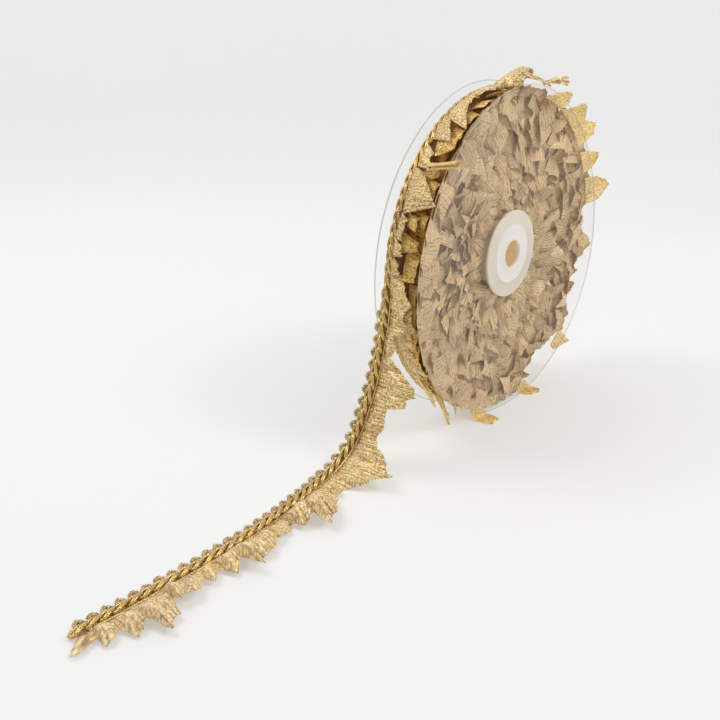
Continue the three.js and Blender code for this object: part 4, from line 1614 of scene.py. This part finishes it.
def petal_shape(name, seed, length, width):
    """A gathered flap, root at the origin and tip along +y. One side of its crease lies flat against the
    film and the other falls away, one corner is folded down, and the cut edge is slanting and ragged."""
    rng = np.random.default_rng(seed)
    s = np.linspace(-1, 1, PETAL_COLUMNS)
    t = np.linspace(0, 1, PETAL_ROWS)
    T, S = np.meshgrid(t, s, indexing="ij")
    slant = rng.uniform(*SLANTS) * rng.choice([-1, 1])
    ragged = np.interp(s, np.linspace(-1, 1, 8), rng.uniform(*RAGGED_EDGE, 8))
    half_width = width / 2 * (0.5 + 0.5 * T**0.6)
    x = S * half_width + rng.uniform(*LEANS) * length * T**1.5
    y = length * T * (1 + T * (slant * s + ragged)[None])
    crease = rng.uniform(-0.5, 0.5) + rng.uniform(-0.3, 0.3) * T
    falls = [rng.uniform(*FLAT_SIDE), rng.uniform(*FALLING_SIDE)]
    rng.shuffle(falls)
    z = -half_width * (falls[0] * np.clip(crease - S, 0, None) + falls[1] * np.clip(S - crease, 0, None))
    corner = np.clip(rng.choice([-1, 1]) * S + 1.2 * T - rng.uniform(*CORNER_FOLDS), 0, None)
    z -= CORNER_DROP * width * corner
    z -= rng.uniform(*ROOT_DEPTHS) * (1 - T) ** 1.2
    z += PETAL_WAVE * np.sin(rng.uniform(0, 6) + 5 * S + 2 * T)
    points = np.stack([x, y - length * 0.5, z], axis=-1).reshape(-1, 3)
    uv = np.stack([S * width / 2 + seed * 7.0, y], axis=-1).reshape(-1, 2)
    return motif(name, points, grid_faces(PETAL_ROWS, PETAL_COLUMNS), uv)


print("one petal has", (PETAL_COLUMNS - 1) * (PETAL_ROWS - 1), "faces")

# %% [markdown]
# The flaps follow the turns, so their lines are spirals over the roll's side.
# %% Spirals over the side
SPIRAL_STEPS = 90  # points in one turn


def spiral(y_at, start, end, turns):
    """A line over the roll's side that winds outwards, with the way it runs."""
    steps = int(turns * SPIRAL_STEPS)
    degrees = np.linspace(0, 360 * turns, steps)
    radius = np.linspace(start, end, steps)
    line, forward, out = turn_at(degrees, radius, y_at(radius, np.radians(degrees)))
    return line, forward


print("spirals of", SPIRAL_STEPS, "points a turn")

# %% [markdown]
# The film holds the flaps: what would poke through it is squeezed into a thin layer behind it, in the same
# order, and what would stand out past the outline of the trim into a thin band inside that.
# %% The film that presses
SIDE_OUTLINE = [  # degrees and radius: how far the trim reaches behind the near disc
    (-90, 74.2),
    (-78, 74),
    (-70, 69),
    (-60, 66),
    (-52, 70),
    (-44, 74),
    (-38, 73.5),
    (-31, 69),
    (-23, 67),
    (-15, 70.5),
    (-8, 75.5),
    (-2, 70),
    (5, 70),
    (12, 75),
    (60, 75),
    (80, 74.4),
    (270, 74.2),
]
EDGE_WAVE = 0.9  # how far the outline wanders in and out between these
EDGE_WAVES = (1.3, 0.47)  # and how quickly, by two sines
FILM_GAP = 0.25
FILM_LAYER = 2.4  # depth that the petals pressed by the film are squeezed into
FILM_BEYOND = 0.4  # how far past the film's rim it still holds them
RIM_LAYER = 2.0
RIM_ZONE = 62
RIM_TAPER = 0.45
RIM_DEPTH = 1.3  # of the petals right at the rim
FLOOR_GAP = 0.25


def press_against_film(thing, gap, rim_depth=None):
    """Squeezes a piece behind the film and inside the outline of the trim. With a rim depth nothing hangs
    deeper than that at the film's rim, and little deeper further in."""
    mesh = thing.data
    points = np.zeros(len(mesh.vertices) * 3)
    mesh.vertices.foreach_get("co", points)
    points = (points.reshape(-1, 3) - ORIGIN) / MM
    height = points[:, 2] - CENTRE_Z
    radius = np.hypot(points[:, 0], height)
    angle = np.arctan2(height, points[:, 0])
    degrees = (np.degrees(angle) + 90) % 360 - 90
    wave = np.sin(degrees * EDGE_WAVES[0]) * np.sin(degrees * EDGE_WAVES[1] + 1)
    most = np.interp(degrees, *np.array(SIDE_OUTLINE).T) + EDGE_WAVE * wave
    over = np.clip(radius - (most - RIM_LAYER), 0, None)
    held = radius - over + RIM_LAYER * (1 - np.exp(-over / RIM_LAYER))
    points[:, 0] *= held / radius
    points[:, 2] = CENTRE_Z + height * held / radius
    film = INNER_FACE + film_at(np.minimum(held, DISC_RADIUS), angle)
    beyond = film + gap + FILM_LAYER - points[:, 1]
    squeezed = film + gap + FILM_LAYER * np.exp(-np.clip(beyond, 0, None) / FILM_LAYER)
    inside = (held < DISC_RADIUS + FILM_BEYOND) & (beyond > 0)
    points[:, 1] = np.where(inside, squeezed, points[:, 1])
    if rim_depth:
        deepest = film + rim_depth + RIM_TAPER * np.clip(DISC_RADIUS - held, 0, None)
        shallow = np.minimum(points[:, 1], deepest)
        points[:, 1] = np.where(held > RIM_ZONE, shallow, points[:, 1])
    points[:, 2] = np.maximum(points[:, 2], FLOOR_GAP)
    mesh.vertices.foreach_set("co", in_frame(points).ravel())
    mesh.update()


print("outline of", len(SIDE_OUTLINE), "points")

# %% [markdown]
# Six spirals of flaps fill the side, each with twelve shapes that the tree picks from: small ones at the
# hub, larger ones towards the rim. Close to the hub and right at the rim all tips point to the hub. Those
# between point to the hub at the top and turn round to point outwards at the left and below, as the turns are
# pushed over there.
# %% Petals on the near side
SIDE_ZONES = [
    # from radius, to radius, turns, pitch, petal's length, petal's width, wander, depth behind the film,
    # degrees up to which tips point outwards, seed
    (19.0, 25, 1.9, 5.0, 10.0, 7.0, 0.2, 1.2, 0, 8),
    (25, 36, 2.9, 6.0, 11.0, 8.0, 0.4, 2.4, 410, 3),
    (36, 56, 2.9, 8.0, 13.5, 11.5, 0.9, 3.2, 410, 4),
    (56, 71, 2.1, 9.0, 16.0, 14.5, 0.9, 3.2, 300, 5),
    (28, 67, 6.0, 8.5, 14.0, 12.0, 1.2, 6.0, 410, 6),
    (68.5, 71, 1.0, 12.5, 15.0, 14.0, 0.7, 1.4, 0, 7),
]
PETAL_KINDS = 12
PETAL_CREASE = 24  # degrees above which an edge stays sharp
OUTWARD_FROM = (100, 150)  # degrees over which the tips turn round to point outwards
OUTWARD_FADE = 50  # degrees over which they turn back to the hub
DEGREES_START = 60  # degrees are counted from here, ahead of the turned petals, up to 420
WANDER_PITCH = 24

for start, end, turns, pitch, length, width, wandering, depth, outward_to, seed in SIDE_ZONES:
    line, forward = spiral(lambda r, a: INNER_FACE + film_at(r, a) + depth, start, end, turns)
    degrees = np.degrees(np.arctan2(-forward[:, 0], forward[:, 2]))
    degrees = (degrees - DEGREES_START) % 360 + DEGREES_START
    still = 1 - smooth(outward_to - OUTWARD_FADE, outward_to, degrees)
    turned = smooth(*OUTWARD_FROM, degrees) * still
    swing = math.pi * turned + wandering * wander(length_along(line), WANDER_PITCH, seed)
    swing = swing[:, None]
    to_hub = np.cross(forward, [0.0, 1.0, 0.0])
    zone = repeat_motifs(
        f"roll_side_petals_{seed}",
        line,
        forward * np.cos(swing) + to_hub * np.sin(swing),
        np.broadcast_to([0.0, -1.0, 0.0], line.shape),
        [petal_shape(f"petal {seed} {k}", seed * 20 + k, length, width) for k in range(PETAL_KINDS)],
        pitch,
        ribbon_shaded_side,
        seed=seed,
        most_turn=(0.3, 0.3, 0.6),
        smallest=0.75,
        largest=1.15,
        crease=PETAL_CREASE,
    )
    press_against_film(zone, FILM_GAP, RIM_DEPTH)
    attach(zone, "root")

# %% [markdown]
# ## The last turn between the discs
# Between the discs the last turn shows from outside. Its chain runs close to the far disc and its petals
# lie over the roll towards the near disc, each with its lower edge free, so that a dark gap opens below it.
# The ones that show in the photograph are rows of a table, and so are those of the turns below that look out
# between them.
# %% Tables of flaps
OUTER_FLAPS = [  # corners as degrees, y, radius: upper and lower gathers, upper and lower cut edge; bulge
    ((80, 14, 73), (96, 15.5, 72.8), (80.5, 5, 79.5), (95, -1.5, 76.3), 5),
    ((94, 1, 81.5), (91.5, -1.4, 78), (77, -0.6, 76), (76.6, -1.6, 74.6), 0.3),
    ((81, -0.6, 75.9), (80.5, -1.6, 74.4), (66.6, -1, 82.6), (65.6, -2.4, 79.2), 0.2),
    ((94, 17, 73), (104.5, 17, 73), (93.5, 10.5, 74), (104.5, 11, 74), 1),
    ((103, 17, 73), (109, 17, 73), (104, 12.5, 73.6), (110.5, 12, 73.8), 0.6),
    ((107.5, 17, 73.2), (119, 16.8, 73), (110.5, 12.8, 74), (124.3, 2.3, 74.5), 1.4),
    ((118, 16.8, 73.2), (129, 16.2, 73), (121, 13.2, 74.2), (130.5, 5.5, 75), 1),
    ((131, 16.6, 73), (140, 16, 73), (134, 12.4, 73.6), (140.6, 9.8, 73.8), 0.6),
    ((140, 16.8, 73.2), (156, 15, 73.2), (142, 10.8, 74.3), (152.2, -0.4, 75), 2),
    ((155.5, 15.5, 73), (164, 16.2, 73), (157.5, 12.2, 73.8), (164.5, 13.4, 73.8), 0.6),
    ((163.5, 16.4, 73), (170, 16.4, 73), (166.2, 12.4, 73.8), (169.2, 11.2, 74.2), 0.5),
    ((169.2, 16.6, 73), (177, 16.4, 73), (172, 13, 73.6), (175.2, 10.6, 74.2), 0.5),
    ((176.2, 16.4, 73), (187, 16.6, 72.4), (177.2, 8.6, 74.4), (184.6, 4.4, 74.8), 1.5),
    ((185.2, 16.6, 72), (194, 16.4, 71.6), (186.5, 6.4, 73.2), (194.6, 3.8, 74.2), 1.4),
]
INNER_FLAPS = [  # the same for petals of the turns below
    ((86, 13, 70.5), (94, 12, 70.5), (87, 5, 71.6), (94.5, 4, 74.6), 1.2),
    ((93, 12, 70), (101, 13, 70.5), (95, 3, 71.2), (101, 5, 75), 1.2),
    ((101, 13, 70), (110, 12, 70.5), (102, 4.5, 71.2), (111, 3, 74.8), 1),
    ((110, 12, 70), (120, 11, 70.5), (112, 3, 71.2), (120.5, 1.5, 74.6), 1),
    ((119.5, 12, 70), (129, 12, 70), (121, 4, 71), (128, 1.5, 74.4), 1),
    ((129, 13.4, 72.6), (135.2, 11, 72.6), (126.5, 3.5, 74.4), (131.6, 1, 74.4), 1.4),
    ((140.7, 13, 72.1), (144.5, 10, 72.1), (139.2, 6.5, 74.1), (142.6, 3.5, 74.1), 0.6),
    ((143, 10, 72.1), (153, 9, 72.1), (144, 2, 73.6), (152, 0.5, 73.6), 0.5),
    ((155, 13.8, 70.5), (159.6, 13.2, 70.5), (156, 7.6, 73.2), (161.2, 6.6, 74.2), 1.2),
    ((154.6, 8.2, 70.8), (158.8, 7.6, 70.8), (155, 0.5, 73), (160.8, 0.8, 74.4), 1.2),
    ((161.4, 14.4, 70.5), (168.6, 14.6, 71), (164.2, 5.4, 73.4), (166.6, 3.6, 75), 1.2),
    ((166.2, 11, 69.6), (176.4, 11.6, 71.6), (168.6, 1, 72.4), (176, 1.6, 74.6), 1),
    ((175.8, 15.8, 72.4), (177.8, 15.4, 73.6), (174.6, 4, 73.6), (176.6, 3.2, 75.2), 0.4),
    ((178.4, 9, 69.6), (185.4, 8.4, 70.6), (179, 0.6, 72), (186, 0.6, 73.2), 0.8),
    ((186, 9, 69.6), (195, 9, 70.6), (187, 1, 72.6), (194.5, 0.6, 73.8), 0.8),
    ((194, 14.2, 70.6), (202, 14.2, 71), (195.4, 3.2, 73), (203, 6.6, 74.2), 0.8),
    ((204, 14, 70.6), (217, 16.5, 71), (201.5, 4.8, 72.8), (212.5, 7, 74), 0.8),
    ((215.5, 16.5, 71), (226, 11, 72), (214.5, 7, 72.8), (222.5, 8, 74), 0.6),
]
print(len(OUTER_FLAPS), "flaps of the last turn and", len(INNER_FLAPS), "of the turns below")

# %% [markdown]
# A flap is a sheet stretched between its four corners. It swells between gathers and cut edge, its edge is
# ragged and scalloped by the ribs, and a straight crease runs through it, from which both sides fall.
# %% Shape of a flap
FLAP_STEPS = 30
FLAP_ROWS = 18
FLAP_FRAY = 0.5
FLAP_SCALLOP = 0.35
FLAP_FOLD = 1.2  # how far a flap falls from its crease to its side
SHINGLE = 1.1  # how much higher the lower end of a petal lies than its upper end
NARROWED = (0.55, 1.0)  # the part of the length over which a swaying petal narrows to its tip


def flap(
    upper_root, lower_root, upper_tip, lower_tip, bulge, seed, sway=0.0, shingle=SHINGLE, fold=FLAP_FOLD
):
    """Points, faces and UV of one ribbed petal between four corners given by angle, y and radius."""
    rng = np.random.default_rng(seed)
    s = np.linspace(0, 1, FLAP_STEPS)
    t = np.linspace(0, 1, FLAP_ROWS)
    S, T = np.meshgrid(s, t, indexing="ij")
    corners = np.array([upper_root, lower_root, upper_tip, lower_tip], float)
    weights = [(1 - S) * (1 - T), S * (1 - T), (1 - S) * T, S * T]
    angle, y, radius = sum(w[..., None] * c for w, c in zip(weights, corners)).transpose(2, 0, 1)
    tip_span = corners[3, 0] - corners[2, 0]
    root_width = math.radians(abs(corners[1, 0] - corners[0, 0])) * corners[0, 2]
    width = max(root_width, math.radians(abs(tip_span)) * corners[2, 2])
    length = np.linalg.norm((corners[2:] - corners[:2]).mean(axis=0)[1:])
    ragged = FLAP_FRAY * np.interp(s, np.linspace(0, 1, 8), rng.uniform(-1, 1, 8))
    ragged += FLAP_SCALLOP * np.abs(np.sin(math.pi * s * width / RIB_PITCH))
    y = y - np.sign(corners[0, 1] - corners[2, 1]) * ragged[:, None] * T**2
    angle = angle + sway * rng.uniform(-0.2, 0.2) * abs(tip_span) * np.sin(math.pi * T)
    angle = angle + sway * (0.5 - S) * 0.5 * tip_span * smooth(*NARROWED, T)
    swell = np.sin(math.pi * np.clip(0.05 + 0.75 * T, 0, 1)) * (1 - (2 * S - 1) ** 4)
    wave = 0.35 * np.sin(rng.uniform(0, 6) + 4.5 * S + 2.5 * T)
    wave = wave + 0.22 * np.sin(rng.uniform(0, 6) + 11 * S - 4 * T)
    crease = rng.uniform(0.25, 0.75) + rng.uniform(-0.2, 0.2) * T
    radius = radius + bulge * swell + wave * T + shingle * (S - 0.5) * T - fold * np.abs(S - crease) * T
    points = on_reel(radius, np.radians(angle), y)
    uv = np.stack([S * width + seed * 13.0, T * length + 0.6], axis=-1)
    return points.reshape(-1, 3), grid_faces(FLAP_STEPS, FLAP_ROWS), uv.reshape(-1, 2)


def join(parts):
    """One set of points, faces and UVs from several."""
    points, faces, uvs = [], [], []
    start = 0
    for part_points, part_faces, part_uv in parts:
        points.append(part_points)
        uvs.append(part_uv)
        faces += [tuple(i + start for i in face) for face in part_faces]
        start += len(part_points)
    return np.concatenate(points), faces, np.concatenate(uvs)


print("a flap has", (FLAP_STEPS - 1) * (FLAP_ROWS - 1), "faces")

# %% [markdown]
# Round the rest of the roll, which the photograph doesn't show, a loop makes flaps like those of the tables,
# overlapping by a little, with widths and reaches from a fixed seed.
# %% Flaps of the last turn
FLAP_WIDTHS = (7, 14)  # degrees
OVERLAPS = (0.5, 2.5)  # degrees
UPPER_REACHES = (4, 9)
LOWER_REACHES = (7, 14)
FLAP_SHIFT = 2  # degrees that a cut edge may lie to either side of its gathers
LOWER_LIFT = 0.5
BULGES = (0.4, 1.6)
FLAP_THICKNESS = 0.4


def like_flaps(first, last, root_y, root_radius, lift, seed):
    """Rows like those of the tables, from the first to the last degree."""
    rng = np.random.default_rng(seed)
    rows = []
    start = first
    while start < last:
        width = rng.uniform(*FLAP_WIDTHS)
        upper_y = root_y - rng.uniform(*UPPER_REACHES)
        lower_y = root_y - rng.uniform(*LOWER_REACHES)
        end = start + width
        shift = rng.uniform(-FLAP_SHIFT, FLAP_SHIFT)
        upper_tip = (start + shift, upper_y, root_radius + rng.uniform(0, lift))
        lower_tip = (end + shift, lower_y, root_radius + rng.uniform(LOWER_LIFT, lift + LOWER_LIFT))
        upper_root = (start, root_y, root_radius)
        lower_root = (end, root_y, root_radius)
        rows.append((upper_root, lower_root, upper_tip, lower_tip, rng.uniform(*BULGES)))
        start += width - rng.uniform(*OVERLAPS)
    return rows


rows = OUTER_FLAPS + like_flaps(193, 440, 16.6, 71.4, 1.5, 8)
outer_flaps = make_mesh("roll_outer_flaps", *join([flap(*row, seed=k) for k, row in enumerate(rows)]))
outer_flaps.data.materials.append(ribbon_lit_pale)
thicken(outer_flaps, FLAP_THICKNESS)
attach(outer_flaps, "root")
count(outer_flaps)

# %% [markdown]
# The gaps between the flaps show petals of the turns below, which are steeper and painted a deeper gold for
# the shade they lie in. Three rings of still darker ones, painted in deep shade, fill the bottom of the gaps,
# one behind the other towards the near disc.
# %% Flaps of the turns below
UNDER_RINGS = [(14.5, 67.5), (10.0, 67.0), (8.0, 68.0)]  # y and radius of the gathers
DEEP_SHINGLE = 2.6
DEEP_FOLD = 3.2
DEEP_GAP = 3.0  # to the film

inner_rows = INNER_FLAPS + like_flaps(-140, 88, 13.5, 71.0, 2.0, 9)
under_rows = []
for ring, (root_y, root_radius) in enumerate(UNDER_RINGS):
    under_rows += like_flaps(3 * ring, 356, root_y, root_radius, 1.8, 10 + ring)
for name, flap_rows, material in (
    ("roll_inner_flaps", inner_rows, ribbon_shaded_deep),
    ("roll_under_flaps", under_rows, ribbon_shaded_low),
):
    petals = [flap(*row, seed=k, shingle=DEEP_SHINGLE, fold=DEEP_FOLD) for k, row in enumerate(flap_rows)]
    deep_flaps = make_mesh(name, *join(petals))
    deep_flaps.data.materials.append(material)
    press_against_film(deep_flaps, DEEP_GAP)
    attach(deep_flaps, "root")
    count(deep_flaps)

# %% [markdown]
# Some petals stand out past the rim of the near disc, and two reach the table and lie flat on it. They are
# single ribbed sheets from a root among the turns, one row of a table each. One more has rolled up into a
# tube.
# %% Petals past the rim
RIM_PETALS = [  # corners as above: gathers behind the film and cut edge past its rim; bulge
    ((71, 3.4, 70.6), (58, 3.4, 70.6), (67, -0.3, 76.2), (55.5, -0.3, 77.8), 1),
    ((58, 3.4, 70.6), (45.5, 3.4, 70.6), (54.5, -0.3, 79.2), (42.6, -0.3, 81.8), 1.2),
    ((46, 3.4, 70.6), (34, 3.4, 70.6), (39, -0.3, 84.3), (33.4, -0.3, 79), 1),
    ((31.5, 3.2, 70.6), (21.5, 3.2, 70.6), (28.6, -0.3, 80.6), (23.6, -0.3, 79.4), 1),
    ((19, 3.2, 71.4), (7.5, 3.2, 71.4), (17.3, -1, 83), (9, -1, 89), 1.2),
    ((-44.5, 2.2, 72.6), (-53, 2.2, 72.2), (-43.4, -0.3, 83), (-51.5, -0.3, 77.5), 0.8),
    ((-4, 6, 70), (-13, 6, 70), (-6.5, 1.5, 77), (-10.5, 1.5, 76), 0.6),
    ((214, 13, 72), (222, 12, 72), (224.5, 7, 77), (229.5, 6, 78.6), 0.6),
    ((226, 9, 73.5), (233, 8, 73), (236.5, 6, 79.5), (240.8, 5.4, 82.8), 0.5),
    ((233, 7, 72.5), (239, 6, 72.5), (238, 4, 75.5), (240, 4, 76.6), 0.4),
]
FLOOR_PETALS = [(-21, 5, -6), (19, 5, -4.6)]  # x, half width, y of the tip
FINGER = [  # stations of the petal that has rolled up: degrees, y, radius, radius of the tube
    (140.6, 8.5, 76, 1.9),
    (139.8, 3.0, 76.2, 1.5),
    (138.6, -4.5, 76.6, 1.9),
]
FINGER_OPEN = (-150, 165)  # degrees that the tube goes round
FINGER_SQUASH = 0.8
FLOOR_COLUMNS = 41
FLOOR_FRAY = (-1.2, 0.8)
FLOOR_RIB = 0.5
RIM_THICKNESS = 0.35


def rolled_petal(stations):
    """A petal rolled into a tube that stays open along one side. Each station has a radius of its own."""
    line = smooth_line([(*on_reel(r, math.radians(a), y), size) for a, y, r, size in stations], 8)
    turns = np.radians(np.linspace(*FINGER_OPEN, 15))
    points = []
    for x, y, z, size in line:
        points += [(x + size * math.cos(t), y, z + FINGER_SQUASH * size * math.sin(t)) for t in turns]
    along_line = np.linspace(0, 15, len(line))
    uv = [(5 * t, v + 2) for v in along_line for t in turns]
    return np.array(points), grid_faces(len(line), len(turns)), np.array(uv)


def floor_petal(x, half, tip_y, seed):
    """A petal that comes down behind the film's rim and lies flat on the table in front of it."""
    rng = np.random.default_rng(seed)
    rise = DISC_RADIUS - math.sqrt(DISC_RADIUS**2 - x**2)
    # y, z and share of the width, from the root to the cut edge
    stations = smooth_line([(4.5, rise + 1.4, 0.8), (2, 0.7, 1.0), (-1.5, 0.5, 0.9), (tip_y, 0.5, 0.6)], 6)
    s = np.linspace(-1, 1, FLOOR_COLUMNS)
    T, S = np.meshgrid(np.linspace(0, 1, len(stations)), s, indexing="ij")
    ragged = np.interp(s, np.linspace(-1, 1, 6), rng.uniform(*FLOOR_FRAY, 6))
    px = x - half * S * stations[:, 2][:, None] + 1.5 * T**2 * rng.uniform(-1, 1)
    py = stations[:, 0][:, None] + ragged[None] * T**3
    pz = stations[:, 1][:, None] + FLOOR_RIB * (1 + np.sin(math.tau * S * half / RIB_PITCH)) * T
    points = np.stack([px, py, np.maximum(pz, 0.3)], axis=-1).reshape(-1, 3)
    uv = np.stack([S * half + 3 * seed, T * 20], axis=-1).reshape(-1, 2)
    return points, grid_faces(len(stations), FLOOR_COLUMNS), uv


parts = [flap(*row, seed=300 + index, sway=1.0) for index, row in enumerate(RIM_PETALS)]
parts.append(rolled_petal(FINGER))
parts += [floor_petal(*row, seed=400 + index) for index, row in enumerate(FLOOR_PETALS)]
rim_petals = make_mesh("roll_rim_petals", *join(parts))
rim_petals.data.materials.append(ribbon_rim)
thicken(rim_petals, RIM_THICKNESS)
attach(rim_petals, "root")
count(rim_petals)

# %% [markdown]
# ## Chain and gimp on the roll
# The last turn's chain goes once round the roll and sinks under itself, a little nearer to the axis with
# every degree. Its stitches are pulled tighter than on the loose end.
# %% Chain of the last turn
CHAIN_DEGREES = (175.9, -176)  # from where the trim leaves the roll, backwards
CHAIN_SUNK = 0.9  # how far the chain's middle lies inside the roll's radius

roll_degrees = np.arange(*CHAIN_DEGREES, -0.8)
roll_radius = ROLL_RADIUS - CHAIN_SUNK - TURN_RISE * (180 - roll_degrees) / 360
point, forward, out = turn_at(roll_degrees, roll_radius, CHAIN_Y)
roll_chain = repeat_motifs(
    "roll_chain_cord",
    point,
    forward,
    out,
    [chain_stitch("tight stitch", slim=TIGHT_STITCH)],
    LOOP_PITCH,
    cord_gold,
    seed=12,
    **CHAIN_CHANCE,
)
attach(roll_chain, "root")

# %% [markdown]
# Through the far disc all the turns show on edge, as a spiral of gimp loops. They are small and there are
# many, so each has only a few faces.
# %% Far side of the roll
FAR_GIMP_GAP = 1.3  # to the far disc
FAR_GIMP_SPIRAL = (21.0, 69.0, 22)  # from radius, to radius, turns

line, forward = spiral(lambda r, a: FAR_FACE - FAR_GIMP_GAP, *FAR_GIMP_SPIRAL)
far_gimp = repeat_motifs(
    "roll_far_gimp",
    line,
    forward,
    np.broadcast_to([0.0, 1.0, 0.0], line.shape),
    [gimp_loop(f"far gimp {k}", 10, 5, 20 + k) for k in range(GIMP_KINDS)],
    LOOP_PITCH,
    gimp_gold,
    seed=6,
    most_turn=(0.1, 0.2, 0.3),
    smallest=0.7,
    largest=0.9,
)
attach(far_gimp, "root")
